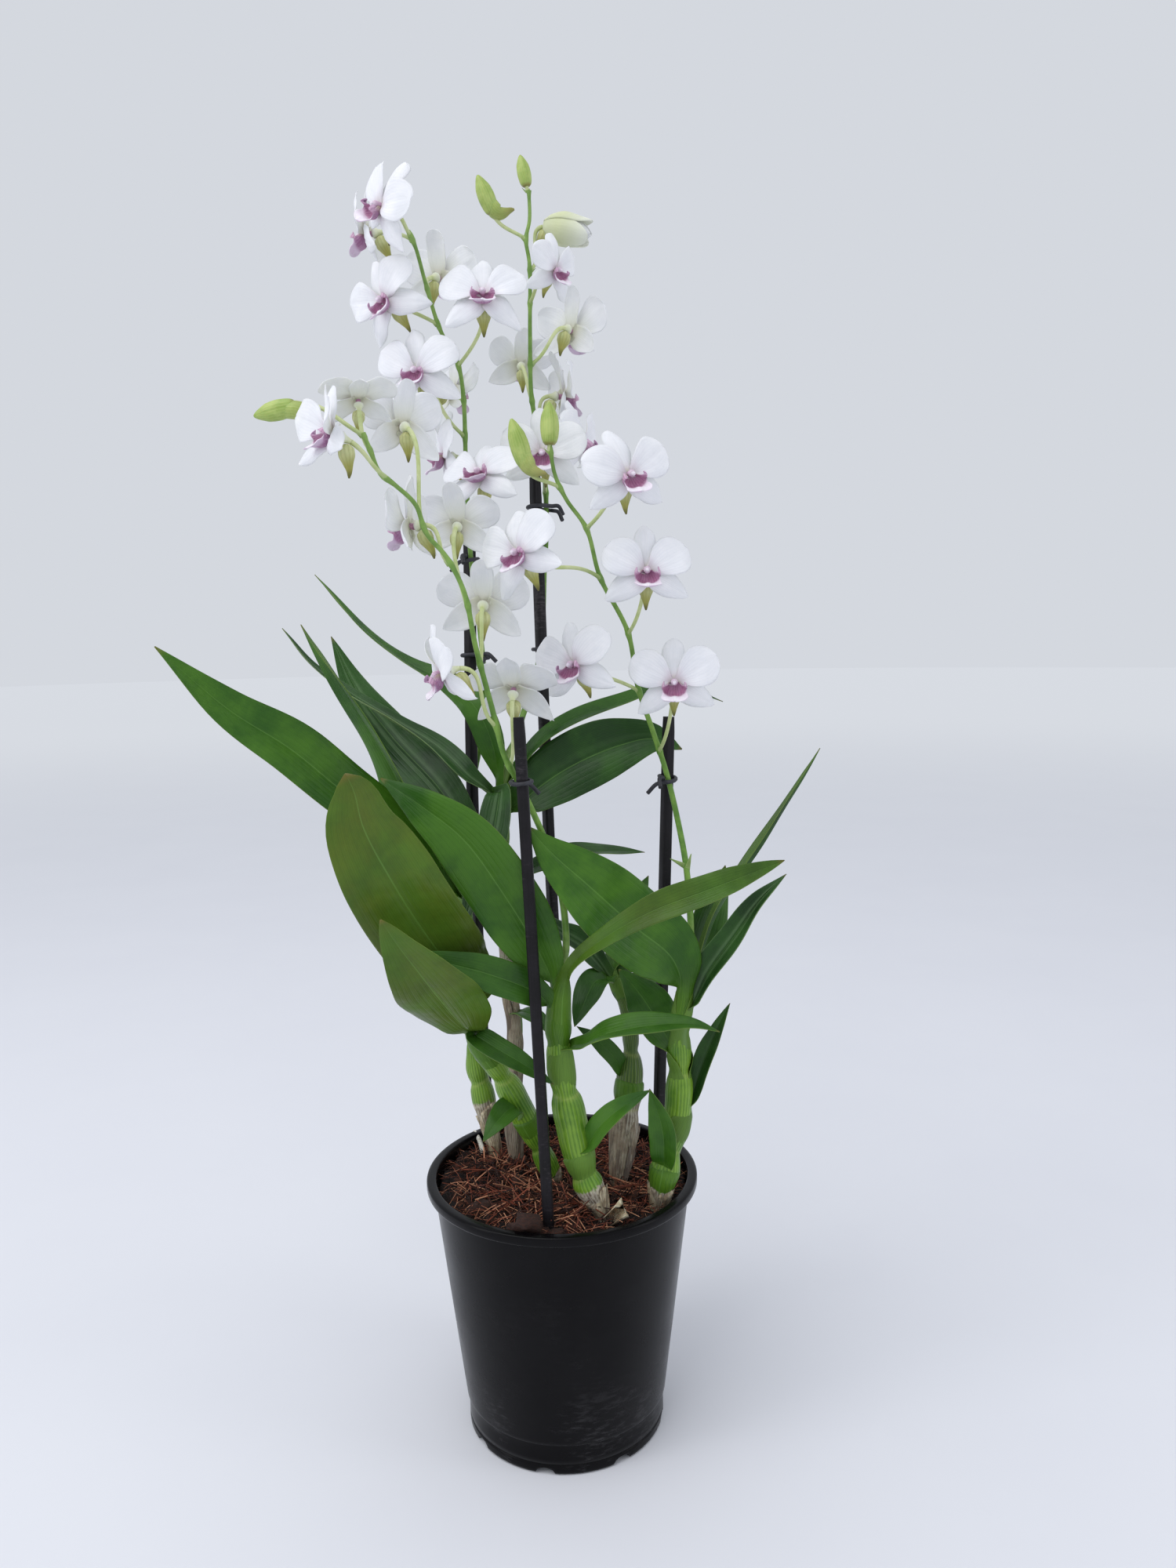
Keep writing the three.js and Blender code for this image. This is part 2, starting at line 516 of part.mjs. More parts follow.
// A wire loop round a stake and a stem that touch it, with its two tails crossed and splayed.
function tie(stakeCentre, stemCentre, stemRadius) {
  const wire = TIE.wire / 2;
  const ring = (centre, radius, bearing, rise) => new THREE.Vector3(
    centre.x + radius * Math.cos(bearing), centre.y + radius * Math.sin(bearing), rise);
  const stakeReach = STAKE.side * 0.62 + wire + SEAT_GAP;
  const stemReach = stemRadius + wire + SEAT_GAP;
  const toStem = Math.atan2(stemCentre.y - stakeCentre.y, stemCentre.x - stakeCentre.x);
  const low = stakeCentre.z - TIE.wire * 0.8;
  const high = stakeCentre.z + TIE.wire * 0.8;
  const turn = Math.PI / 3;
  const loop = [];
  for (let i = -1; i <= 1; i += 1) loop.push(ring(stemCentre, stemReach, toStem + i * turn, 0));
  for (let i = 2; i <= 4; i += 1) loop.push(ring(stakeCentre, stakeReach, toStem + i * turn, 0));
  const open = loop.length - 1;
  loop.push(loop[0].clone());
  loop.forEach((point, i) => point.setZ(THREE.MathUtils.lerp(low, high, i / (open + 1))));
  const out = new THREE.Vector3(Math.cos(toStem - turn), Math.sin(toStem - turn), 0);
  const across = new THREE.Vector3(-out.y, out.x, 0);
  const tail = (point, ahead, aside) => point.clone()
    .addScaledVector(out, TIE.tail * ahead).addScaledVector(across, TIE.tail * aside);
  const points = [tail(loop[0], 1, -0.6), ...loop, tail(loop[open + 1], 0.7, 1)];
  const extrudePath = new THREE.CatmullRomCurve3(points, false, 'centripetal');
  const section = new THREE.Shape(Array.from({ length: TIE.sides }, (_, i) => {
    const bearing = (2 * Math.PI * i) / TIE.sides;
    return new THREE.Vector2(wire * Math.cos(bearing), wire * Math.sin(bearing));
  }));
  const { steps } = TIE;
  return toSolid(new THREE.ExtrudeGeometry(section, { steps, bevelEnabled: false, extrudePath }));
}

// ------------------------------------------------------------------ canes and leaves

const LEAF_OUTLINE = [[0, 0.2], [0.16, 0.66], [0.36, 0.98], [0.58, 0.96], [0.8, 0.6], [1, 0]];

function canePath({ path }, foot) {
  const [x, y] = path[0];
  return route([[x, y, foot], ...path]);
}

function cane(plan) {
  const stalk = stem(canePath(plan, CANE_FOOT), plan.girth, 8);
  const leaves = plan.leaves.map((leaf) => blade({ outline: LEAF_OUTLINE, ...leaf }, LEAF_THICKNESS));
  return join([stalk, ...leaves]);
}

function caneHole(plan) {
  const girth = plan.girth.map(([stop, radius]) => [stop, radius + SEAT_GAP]);
  return stem(canePath(plan, CANE_FOOT - SEAT_GAP), girth, 8);
}

// ------------------------------------------------------------------ sprays and blooms

// In a bloom's own frame +Z is the way that it looks and +Y its dorsal sepal. Its sizes are
// shares of its span.
const OVARY_END = [0, -0.01, -0.17];
const OVARY_SIDE = [0, -0.05, -0.3]; // a point behind the ovary, on the line of its pedicel
const HEART = 0.08; // radius of the pentagon that the five tepals grow from
const LIP = { face: [0, 1, 0.6], fold: 38, outline: [[0, 0.4], [0.5, 1], [1, 0]] };

// Tepals as [share of the half width, share of the length, height] at rows from base to tip.
const SEPAL = { width: 0.28, length: 0.5, rows: [[0.95, 0.38, 0], [0.8, 0.7, -0.02], [0, 1, -0.07]] };
const PETAL = { width: 0.42, length: 0.5,
  rows: [[0.85, 0.38, 0.045], [1, 0.68, 0.045], [0.45, 1, -0.01]] };
const TEPALS = [[20, PETAL], [90, SEPAL], [160, PETAL], [224, SEPAL], [316, SEPAL]];

// Five tepals as one thin body round a small pentagon. `cup` is the angle by which a bloom that
// is still opening holds them forward.
function perianth(span, cup) {
  const sheet = makeSheet(TEPAL_THICKNESS);
  const lean = THREE.MathUtils.degToRad(cup);
  const axis = new THREE.Vector3(0, 0, 1);
  const bearings = TEPALS.map(([bearing]) => bearing);
  const corners = bearings.map((bearing, i) => {
    const before = bearings.at(i - 1) - (i === 0 ? 360 : 0);
    const turn = THREE.MathUtils.degToRad((bearing + before) / 2);
    const corner = new THREE.Vector3(Math.cos(turn), Math.sin(turn), 0);
    return sheet.put(corner.multiplyScalar(HEART * span), axis);
  });
  for (let i = 2; i < corners.length; i += 1) sheet.patch(corners[0], corners[i], corners[i - 1]);
  TEPALS.forEach(([bearing, kind], i) => {
    const turn = THREE.MathUtils.degToRad(bearing);
    const out = new THREE.Vector3(Math.cos(turn), Math.sin(turn), 0);
    const side = new THREE.Vector3(-out.y, out.x, 0);
    const up = axis.clone().multiplyScalar(Math.cos(lean)).addScaledVector(out, -Math.sin(lean));
    const ahead = out.clone().multiplyScalar(Math.cos(lean)).addScaledVector(axis, Math.sin(lean));
    const root = [corners[i], corners[(i + 1) % corners.length]];
    const rows = kind.rows.map(([share, reach, height]) => [-1, 1].map((edge) => {
      const point = ahead.clone().multiplyScalar(reach * kind.length * span);
      point.addScaledVector(side, (edge * share * kind.width * span) / 2);
      return sheet.put(point.addScaledVector(up, height * span), up);
    }));
    sheet.strip([root, ...rows]);
  });
  return sheet.solid();
}

function bloom({ span = BLOOM_SPAN, cup = 0 }) {
  const sized = (points) => points.map((point) => point.map((value) => value * span));
  const column = stem(route(sized([OVARY_END, [0, 0.015, -0.06], [0, -0.005, 0.12]])),
    [[0, 0.026 * span], [0.45, 0.04 * span], [1, 0.045 * span]], 4);
  const mentum = stem(route(sized([[0, 0, -0.08], [0, -0.12, -0.12], [0, -0.22, -0.2]])),
    [[0, 0.02 * span], [0.5, 0.05 * span]], 3);
  const lip = blade({ ...LIP, width: 0.28 * span,
    midrib: sized([[0, -0.06, 0], [0, -0.09, 0.14], [0, -0.22, 0.22]]) }, TEPAL_THICKNESS);
  return largest(join([perianth(span, cup), column, mentum, lip]));
}

// Turns a bloom so that it looks along `facing` with its dorsal sepal up, rolled about that line.
function bloomTurn({ facing, roll }) {
  const ahead = vec(facing).normalize();
  const up = new THREE.Vector3(0, 0, 1);
  up.addScaledVector(ahead, -up.dot(ahead)).normalize();
  up.applyAxisAngle(ahead, THREE.MathUtils.degToRad(roll));
  const right = up.clone().cross(ahead);
  return new THREE.Quaternion().setFromRotationMatrix(new THREE.Matrix4().makeBasis(right, up, ahead));
}

// A pedicel leaves the flower stem outwards and upwards, and reaches the bloom from behind.
function pedicel(start, end, arrival) {
  const outward = end.clone().sub(start);
  const length = outward.length();
  const leave = outward.setZ(0).normalize().add(new THREE.Vector3(0, 0, 0.55)).normalize();
  const curve = new THREE.CubicBezierCurve3(
    start, start.clone().addScaledVector(leave, length * 0.45),
    end.clone().addScaledVector(arrival, -length * 0.4), end);
  return stem(curve, [[0, PEDICEL_RADIUS * 0.85], [0.35, PEDICEL_RADIUS * 0.85],
    [0.7, PEDICEL_RADIUS * 0.9], [1, PEDICEL_RADIUS]], 4);
}

function bud({ base, tip, spur }) {
  const body = stem(route([base, tip]), [[0, 1.3], [0.22, 3.2], [0.5, 4], [0.8, 2.6], [1, 0.4]], 6);
  if (!spur) return body;
  const middle = vec(base).lerp(vec(tip), 0.2).toArray();
  return body.add(stem(route([middle, spur]), [[0, 2.6], [1, 0.6]], 5));
}

function sprayPath({ cane: caneName, path }) {
  const below = canePath(CANES[caneName], CANE_FOOT);
  const rise = below.getTangentAt(1);
  const start = below.getPointAt(1).addScaledVector(rise, SEAT_GAP);
  return route([start.toArray(), start.clone().addScaledVector(rise, 5).toArray(), ...path]);
}

// A flower stem has a ring at each point of its path, and thins evenly from foot to tip.
function flowerStem(curve) {
  const spans = curve.points.length - 1;
  const lengths = curve.getLengths(spans * 20);
  return stem(curve, curve.points.map((_, i) => {
    const stop = lengths[i * 20] / lengths.at(-1);
    return [stop, THREE.MathUtils.lerp(FLOWER_STEM.foot, FLOWER_STEM.tip, stop)];
  }), 5);
}

function spray(plan) {
  const curve = sprayPath(plan);
  const leaving = (height) => atHeight(curve.points, height);
  const pieces = [flowerStem(curve)];
  for (const pose of Object.values(plan.blooms)) {
    const turn = bloomTurn(pose);
    const span = pose.span ?? BLOOM_SPAN;
    const inWorld = (point) => vec(point).multiplyScalar(span).applyQuaternion(turn).add(vec(pose.at));
    const arrival = inWorld(OVARY_END).sub(inWorld(OVARY_SIDE)).normalize();
    const end = inWorld(OVARY_END).addScaledVector(arrival, -SEAT_GAP);
    pieces.push(pedicel(leaving(pose.from), end, arrival));
  }
  for (const shape of plan.buds) {
    const base = vec(shape.base);
    const arrival = vec(shape.tip).sub(base).normalize();
    base.addScaledVector(arrival, 1);
    pieces.push(bud(shape), pedicel(leaving(shape.from), base, arrival));
  }
  return join(pieces);
}

// ------------------------------------------------------------------ the orchid

const group = new THREE.Group();
group.name = 'dendrobium_orchid';

function addMesh(name, geometry, color, roughness) {
  const material = new THREE.MeshStandardMaterial({ color, roughness, metalness: 0 });
  const mesh = new THREE.Mesh(geometry, material);
  mesh.name = name;
  group.add(mesh);
  return mesh;
}

addMesh('pot', toGeometry(pot()), '#1c1b1d', 0.4);

const holes = [
  ...Object.values(STAKES).map((points) => stake(points, SEAT_GAP)),
  ...Object.values(CANES).map(caneHole),
];
addMesh('potting_mix', toGeometry(pottingMix(holes)), '#6b3f2a', 0.95);

for (const [name, points] of Object.entries(STAKES)) {
  addMesh(name, toGeometry(stake(points)), '#26212a', 0.6);
}

for (const [name, plan] of Object.entries(CANES)) {
  addMesh(name, toGeometry(cane(plan)), '#3c7a26', 0.45);
}

for (const [name, plan] of Object.entries(SPRAYS)) {
  addMesh(name, toGeometry(spray(plan)), '#86a84e', 0.5);
  for (const [bloomName, pose] of Object.entries(plan.blooms)) {
    const mesh = addMesh(bloomName, toGeometry(bloom(pose)), '#e6e5ee', 0.55);
    mesh.position.copy(vec(pose.at));
    mesh.quaternion.copy(bloomTurn(pose));
  }
}

for (const [name, plan] of Object.entries(TIES)) {
  const points = STAKES[plan.stake];
  const post = atHeight(route(points).getSpacedPoints(stakeSteps(points)), plan.height);
  const bound = atHeight(sprayPath(SPRAYS[plan.stem]).points, plan.height);
  addMesh(name, toGeometry(tie(post, bound, FLOWER_STEM.foot)), '#3a3a41', 0.7);
}

export default group;
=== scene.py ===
# %% [markdown]
# # A potted dendrobium orchid
#
# A white and mauve dendrobium in a black nursery pot: six leafy canes in bark and coir, four sprays
# of blooms, and the stakes and wire ties that hold them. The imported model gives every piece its
# place and size. This lesson gives each piece its living shape and finish, one kind at a time.

import math
import random
from collections import namedtuple

import bpy
import numpy as np
from mathutils import Matrix, Vector


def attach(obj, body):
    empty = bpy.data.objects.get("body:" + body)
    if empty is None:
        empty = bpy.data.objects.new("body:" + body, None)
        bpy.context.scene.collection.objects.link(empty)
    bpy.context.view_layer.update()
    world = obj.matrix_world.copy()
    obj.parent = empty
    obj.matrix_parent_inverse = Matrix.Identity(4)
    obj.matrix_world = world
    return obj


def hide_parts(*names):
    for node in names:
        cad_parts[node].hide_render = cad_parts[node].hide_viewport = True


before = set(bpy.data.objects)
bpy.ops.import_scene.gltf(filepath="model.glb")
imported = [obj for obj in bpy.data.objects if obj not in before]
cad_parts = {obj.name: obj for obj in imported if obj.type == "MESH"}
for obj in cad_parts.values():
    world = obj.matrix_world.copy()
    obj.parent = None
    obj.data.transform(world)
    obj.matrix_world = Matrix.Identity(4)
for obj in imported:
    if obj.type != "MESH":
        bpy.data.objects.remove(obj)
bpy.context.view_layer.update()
MM = 0.001  # plans are in millimetres, and Blender works in metres

# %% [markdown]
# ## The camera, the floor and the light
#
# The eye stands a little above the middle of the plant and looks slightly down, close enough for
# the pot to show its top. A wide lens does that. Soft light from large areas, over a pale floor,
# keeps white petals from burning out and still draws long soft reflections on the satin pot.

# %% Camera
EYE = (0.0168, -0.579, 0.4185)
PITCH, ROLL = math.radians(8.0), math.radians(-0.95)
ahead = Vector((0, math.cos(PITCH), -math.sin(PITCH)))
level = Vector((1, 0, 0))
over = level.cross(ahead)
right = level * math.cos(ROLL) + over * math.sin(ROLL)
up = over * math.cos(ROLL) - level * math.sin(ROLL)
lens = bpy.data.cameras.new("camera")
lens.lens, lens.sensor_fit = 27, "VERTICAL"
lens.sensor_height = lens.sensor_width = 36
camera = bpy.data.objects.new("camera", lens)
bpy.context.collection.objects.link(camera)
turn = Matrix((right, up, -ahead)).transposed()
camera.matrix_world = Matrix.Translation(EYE) @ turn.to_4x4()
bpy.context.scene.camera = camera
print("camera at", [round(c, 3) for c in camera.location])


# %% Colours and nodes
def tone(red, green, blue):
    """A colour from 0 to 255 as the linear one that nodes use."""
    def linear(part):
        part /= 255
        return part / 12.92 if part <= 0.04045 else ((part + 0.055) / 1.055) ** 2.4
    return (linear(red), linear(green), linear(blue), 1)


def put(tree, kind, inputs=None, **settings):
    """Adds a node. An input is a plain value, or another node's output that is linked to it."""
    made = tree.nodes.new(kind)
    for name, value in settings.items():
        setattr(made, name, value)
    for key, value in (inputs or {}).items():
        if isinstance(value, bpy.types.NodeSocket):
            tree.links.new(value, made.inputs[key])
        else:
            made.inputs[key].default_value = value
    return made


def out_of(tree, kind, inputs=None, **settings):
    """The first output of a new node."""
    return put(tree, kind, inputs, **settings).outputs[0]


def mix(tree, share, first, second):
    """Goes from the first colour to the second by a share."""
    return put(tree, "ShaderNodeMix", {0: share, 6: first, 7: second}, data_type="RGBA").outputs[2]


def maths(tree, way, first, second=0.0):
    return out_of(tree, "ShaderNodeMath", {0: first, 1: second}, operation=way)


def times(tree, first, second):
    return maths(tree, "MULTIPLY", first, second)


def coats(tree, colour, *layers):
    """Lays coats over a colour. Each has a mask, a strength, and its own colour or 0 to 255 tone."""
    for mask, strength, coat in layers:
        share = mask if strength == 1 else times(tree, mask, strength)
        colour = mix(tree, share, colour, tone(*coat) if isinstance(coat, tuple) else coat)
    return colour


def between(tree, value, low, high, to_low=0.0, to_high=1.0):
    """Eases a value from one range to another, and holds it at the ends."""
    ends = {0: value, 1: low, 2: high, 3: to_low, 4: to_high}
    return out_of(tree, "ShaderNodeMapRange", ends, interpolation_type="SMOOTHSTEP")


def noise(tree, vector, scale, detail=3.0, roughness=0.55):
    look = {"Vector": vector, "Scale": scale, "Detail": detail, "Roughness": roughness}
    return put(tree, "ShaderNodeTexNoise", look).outputs["Fac"]


def place_of(tree, stretch=None):
    """Object coordinates, stretched where a pattern runs along one axis."""
    place = put(tree, "ShaderNodeTexCoord").outputs["Object"]
    if stretch:
        place = out_of(tree, "ShaderNodeMapping", {"Vector": place, "Scale": stretch})
    return place


def mark(tree, name):
    return put(tree, "ShaderNodeAttribute", attribute_name=name).outputs["Fac"]


def bump(tree, height, strength, distance, over=None):
    """Relief as a bent normal, which may lie over a coarser one."""
    inputs = {"Strength": strength, "Distance": distance, "Height": height}
    if over is not None:
        inputs["Normal"] = over
    return out_of(tree, "ShaderNodeBump", inputs)


def spaced(words):
    """A socket's name has a space where a keyword has an underscore."""
    return {word.replace("_", " "): value for word, value in words.items()}


def new_finish(name, **constants):
    """A material with its shader. What is the same all over is set on the shader's own sockets."""
    finish = bpy.data.materials.new(name)
    finish.use_nodes = True
    tree = finish.node_tree
    tree.nodes.clear()
    shader = put(tree, "ShaderNodeBsdfPrincipled", spaced(constants))
    put(tree, "ShaderNodeOutputMaterial", {"Surface": shader.outputs[0]})
    print("finish", name)
    return finish, tree, shader.inputs


def feed(tree, inputs, **sockets):
    """Links what changes over the surface to the shader."""
    for name, socket in spaced(sockets).items():
        tree.links.new(socket, inputs[name])


def new_group(kind, name, inputs, outputs):
    """A node group with named sockets, and the two nodes that stand for them inside it."""
    tree = bpy.data.node_groups.new(name, kind)
    for label, socket_kind, value in inputs:
        socket = tree.interface.new_socket(label, in_out="INPUT", socket_type="NodeSocket" + socket_kind)
        if value is not None:
            socket.default_value = value
    for label, socket_kind in outputs:
        tree.interface.new_socket(label, in_out="OUTPUT", socket_type="NodeSocket" + socket_kind)
    print("node group", name)
    return tree, put(tree, "NodeGroupInput").outputs, put(tree, "NodeGroupOutput").inputs


def use(tree, group, **inputs):
    """Places a shader group in a material, with its own values, and gives its outputs."""
    return put(tree, "ShaderNodeGroup", spaced(inputs), node_tree=group).outputs


# %% Floor
# Far from the object the floor glows as the world does, so no horizon shows behind it.
AIR, AIR_STRENGTH = tone(217, 221, 228), 0.95
FLOOR_RADIUS, FLOOR_LEVEL, FLOOR_SIDES = 9, -0.0005, 128
floor_mesh = bpy.data.meshes.new("floor")
turns = [i * math.pi * 2 / FLOOR_SIDES for i in range(FLOOR_SIDES)]
rim = [(FLOOR_RADIUS * math.cos(turn), FLOOR_RADIUS * math.sin(turn), FLOOR_LEVEL) for turn in turns]
floor_mesh.from_pydata(rim, [], [list(range(FLOOR_SIDES))])
floor = bpy.data.objects.new("floor", floor_mesh)
bpy.context.collection.objects.link(floor)
finish, tree, shader = new_finish("pale_paper", Roughness=0.9, Specular_IOR_Level=0.1,
                                  Emission_Strength=AIR_STRENGTH)
place = place_of(tree)
cloud = mix(tree, noise(tree, place, 6, 4), tone(233, 234, 239), tone(228, 229, 235))
from_middle = put(tree, "ShaderNodeVectorMath", {0: place}, operation="LENGTH").outputs["Value"]
far = between(tree, from_middle, 0.5, 4.5)
black = tone(0, 0, 0)
feed(tree, shader, Base_Color=mix(tree, far, cloud, black), Emission_Color=mix(tree, far, black, AIR))
floor_mesh.materials.append(finish)

# %% Light
world = bpy.data.worlds.new("pale_studio")
world.use_nodes = True
backdrop = world.node_tree.nodes["Background"].inputs
backdrop["Color"].default_value = AIR
backdrop["Strength"].default_value = AIR_STRENGTH
bpy.context.scene.world = world
bpy.context.scene.view_settings.view_transform = "Standard"
LAMP_TARGET = (0, 0, 0.3)


def soft_light(name, place, size, power):
    area = bpy.data.lights.new(name, "AREA")
    area.shape, area.size, area.size_y = "RECTANGLE", size[0], size[1]
    area.energy = power
    lamp = bpy.data.objects.new(name, area)
    lamp.location = place
    lamp.rotation_mode = "QUATERNION"
    lamp.rotation_quaternion = (Vector(LAMP_TARGET) - Vector(place)).to_track_quat("-Z", "Y")
    bpy.context.collection.objects.link(lamp)


soft_light("sky_light", (-0.7, -0.8, 2.0), (1.5, 1.5), 15.5)
soft_light("left_light", (-1.5, -0.7, 0.8), (0.5, 1.6), 4.5)
soft_light("right_light", (1.6, -0.5, 0.9), (0.5, 1.6), 3.5)

# %% [markdown]
# ## Curves and skins
#
# Everything on a plant follows a line: a cane, a midrib, a flower stem. Its plan is a handful of
# points, and a centripetal Catmull-Rom curve runs through them without loops or overshoot. Round
# parts are rings along such a line. A leaf or a petal is a grid of points that gets a front and a
# back, so it is a closed body as well. Both are one operation here, a loft through closed rings,
# which carries a UV map and named marks, such as how dry or how green each point is.


# %% Curves
def smooth_line(points, steps=24):
    """A centripetal Catmull-Rom curve through the points."""
    p = np.asarray(points, float)
    p = np.vstack([2 * p[0] - p[1], p, 2 * p[-1] - p[-2]])
    gaps = np.maximum(np.linalg.norm(np.diff(p, axis=0), axis=1) ** 0.5, 1e-4)
    t = np.linspace(0, 1, steps, endpoint=False)[:, None]
    parts = []
    for i in range(1, len(p) - 2):
        a, b, c, d = p[i - 1:i + 3]
        before, span, after = gaps[i - 1:i + 2]
        leave = ((b - a) / before - (c - a) / (before + span) + (c - b) / span) * span
        reach = ((c - b) / span - (d - b) / (span + after) + (d - c) / after) * span
        parts.append(b + leave * t + (3 * (c - b) - 2 * leave - reach) * t ** 2
                     + (2 * (b - c) + leave + reach) * t ** 3)
    return np.vstack([*parts, p[-2:-1]])


def lengths_of(line):
    return np.concatenate([[0], np.cumsum(np.linalg.norm(np.diff(line, axis=0), axis=1))])


def points_at(line, stops):
    """Points at fractions of a line's length."""
    length = lengths_of(line)
    return np.stack([np.interp(np.asarray(stops) * length[-1], length, line[:, k]) for k in range(3)], 1)


def even_line(points, count):
    """Evenly spaced points on the smooth curve through a few points."""
    return points_at(smooth_line(points), np.linspace(0, 1, count))


def full_circle(count):
    """Bearings that go once round, without the first one again."""
    return np.linspace(0, 2 * np.pi, count, endpoint=False)


def unit(vectors):
    vectors = np.asarray(vectors, float)
    return vectors / np.maximum(np.linalg.norm(vectors, axis=-1, keepdims=True), 1e-9)


def tangents_of(line):
    return unit(np.gradient(line, axis=0))


def eased(table, stops):
    """Reads a table of [stop, value] smoothly, without overshoot."""
    x, y = np.array(table, float).T
    slope = np.diff(y) / np.diff(x)
    lean = np.zeros_like(y)
    same = slope[:-1] * slope[1:] > 0
    both = slope[:-1] + slope[1:]
    lean[1:-1] = np.where(same, 2 * slope[:-1] * slope[1:] / np.where(same, both, 1), 0)
    lean[0], lean[-1] = slope[0], slope[-1]
    stops = np.clip(stops, x[0], x[-1])
    i = np.clip(np.searchsorted(x, stops, side="right") - 1, 0, len(x) - 2)
    step = x[i + 1] - x[i]
    t = (stops - x[i]) / step
    return (y[i] * (1 + 2 * t) * (1 - t) ** 2 + lean[i] * step * t * (1 - t) ** 2
            + y[i + 1] * t ** 2 * (3 - 2 * t) + lean[i + 1] * step * t ** 2 * (t - 1))


def carried_frames(line):
    """Two directions across a line that turn as little as possible along it."""
    ways = tangents_of(line)
    normal = np.array([1.0, 0, 0] if abs(ways[0][0]) < 0.8 else [0, 1.0, 0])
    normals = []
    for way in ways:
        normal = unit(normal - way * normal.dot(way))
        normals.append(normal)
    normals = np.array(normals)
    return normals, np.cross(ways, normals)


# %% Skins
class Skin:
    """Closed lofts that end up in one mesh, with a UV map, named marks and finishes."""

    def __init__(self, *marks):
        self.points, self.faces, self.uvs, self.finishes, self.count = [], [], [], [], 0
        self.marks = {name: [] for name in marks}

    def loft(self, rings, around, along, finish=0, **marks):
        """Joins rings (rows, points, 3). `around` is the U of each point and of the first again."""
        rows, size = rings.shape[:2]
        near = np.arange(rows * size).reshape(rows, size)
        far = np.roll(near, -1, axis=1)
        quads = np.stack([near[:-1], far[:-1], far[1:], near[1:]], -1).reshape(-1, 4)
        u = np.stack([around[:-1], around[1:], around[1:], around[:-1]], -1)
        v = np.stack([along[:-1], along[:-1], along[1:], along[1:]], -1)
        quad_uv = np.stack([np.broadcast_to(u, (rows - 1, size, 4)),
                            np.broadcast_to(v[:, None], (rows - 1, size, 4))], -1).reshape(-1, 4, 2)
        first, last = rows * size, rows * size + 1
        start = np.stack([np.full(size, first), far[0], near[0]], -1)
        end = np.stack([np.full(size, last), near[-1], far[-1]], -1)
        caps = np.concatenate([start, end])
        middle = (around[:-1] + around[1:]) / 2
        start_uv = np.stack([np.stack([middle, around[1:], around[:-1]], -1),
                             np.full((size, 3), along[0])], -1)
        end_uv = np.stack([np.stack([middle, around[:-1], around[1:]], -1),
                           np.full((size, 3), along[-1])], -1)
        cap_uv = np.concatenate([start_uv, end_uv])
        points = np.concatenate([rings.reshape(-1, 3), [rings[0].mean(0), rings[-1].mean(0)]])
        a, b, c = (points[quads[:, k]] for k in (0, 1, 2))
        if np.einsum("ij,ij->i", a - points[0], np.cross(b - points[0], c - points[0])).sum() < 0:
            quads, quad_uv = quads[:, ::-1], quad_uv[:, ::-1]
            caps, cap_uv = caps[:, ::-1], cap_uv[:, ::-1]
        self.points.append(points)
        self.faces += (quads + self.count).tolist() + (caps + self.count).tolist()
        self.uvs += [quad_uv.reshape(-1, 2), cap_uv.reshape(-1, 2)]
        self.finishes += [finish] * (len(quads) + len(caps))
        for name, values in self.marks.items():
            value = np.broadcast_to(np.asarray(marks.get(name, 0.0), float), (rows, size))
            values.append(np.concatenate([value.ravel(), [value[0].mean(), value[-1].mean()]]))
        self.count += len(points)

    def tube(self, line, radii, sides=16, finish=0, **marks):
        """A round body along a line. `radii` has one value a row, or one for each point round it."""
        normals, sideways = carried_frames(line)
        turns = full_circle(sides)
        radii = np.asarray(radii, float)
        radii = (radii if radii.ndim == 2 else radii[:, None])[:, :, None]
        rings = line[:, None] + radii * (np.cos(turns)[None, :, None] * normals[:, None]
                                         + np.sin(turns)[None, :, None] * sideways[:, None])
        along = lengths_of(line)
        self.loft(rings, np.linspace(0, 1, sides + 1), along / along[-1], finish, **marks)

    def sheet(self, grid, over, under, finish=0, **marks):
        """A thin body on a grid (rows, columns, 3). The mark `under` is 1 on its back."""
        rows, columns = size = grid.shape[:2]
        normals = unit(np.cross(np.gradient(grid, axis=1), np.gradient(grid, axis=0)))
        top = grid + normals * np.broadcast_to(over, size)[..., None]
        back = grid - normals * np.broadcast_to(under, size)[..., None]
        u = np.linspace(0, 1, columns)
        marks = {name: np.broadcast_to(value, size) for name, value in marks.items()}
        marks = {name: np.concatenate([value, value[:, ::-1]], 1) for name, value in marks.items()}
        marks["under"] = np.concatenate([np.zeros(size), np.ones(size)], 1)
        self.loft(np.concatenate([top, back[:, ::-1]], 1), np.concatenate([u, u[::-1], u[:1]]),
                  np.linspace(0, 1, rows), finish, **marks)

    def piece(self, name, finishes):
        mesh = bpy.data.meshes.new(name)
        mesh.from_pydata((np.concatenate(self.points) * MM).tolist(), [], self.faces)
        mesh.uv_layers.new(name="UVMap").data.foreach_set("uv", np.concatenate(self.uvs).ravel())
        for label, values in self.marks.items():
            layer = mesh.attributes.new(label, "FLOAT", "POINT")
            layer.data.foreach_set("value", np.concatenate(values))
        for item in finishes:
            mesh.materials.append(item)
        mesh.polygons.foreach_set("material_index", self.finishes)
        mesh.polygons.foreach_set("use_smooth", [True] * len(self.faces))
        mesh.update()
        made = bpy.data.objects.new(name, mesh)
        bpy.context.collection.objects.link(made)
        return made


def settle(piece, node):
    """Fixes a finished piece to the model, in the place of its node."""
    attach(piece, "root")
    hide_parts(node)
    mesh = piece.data
    mesh.calc_loop_triangles()
    print(f"{piece.name}: {len(mesh.loop_triangles)} triangles")


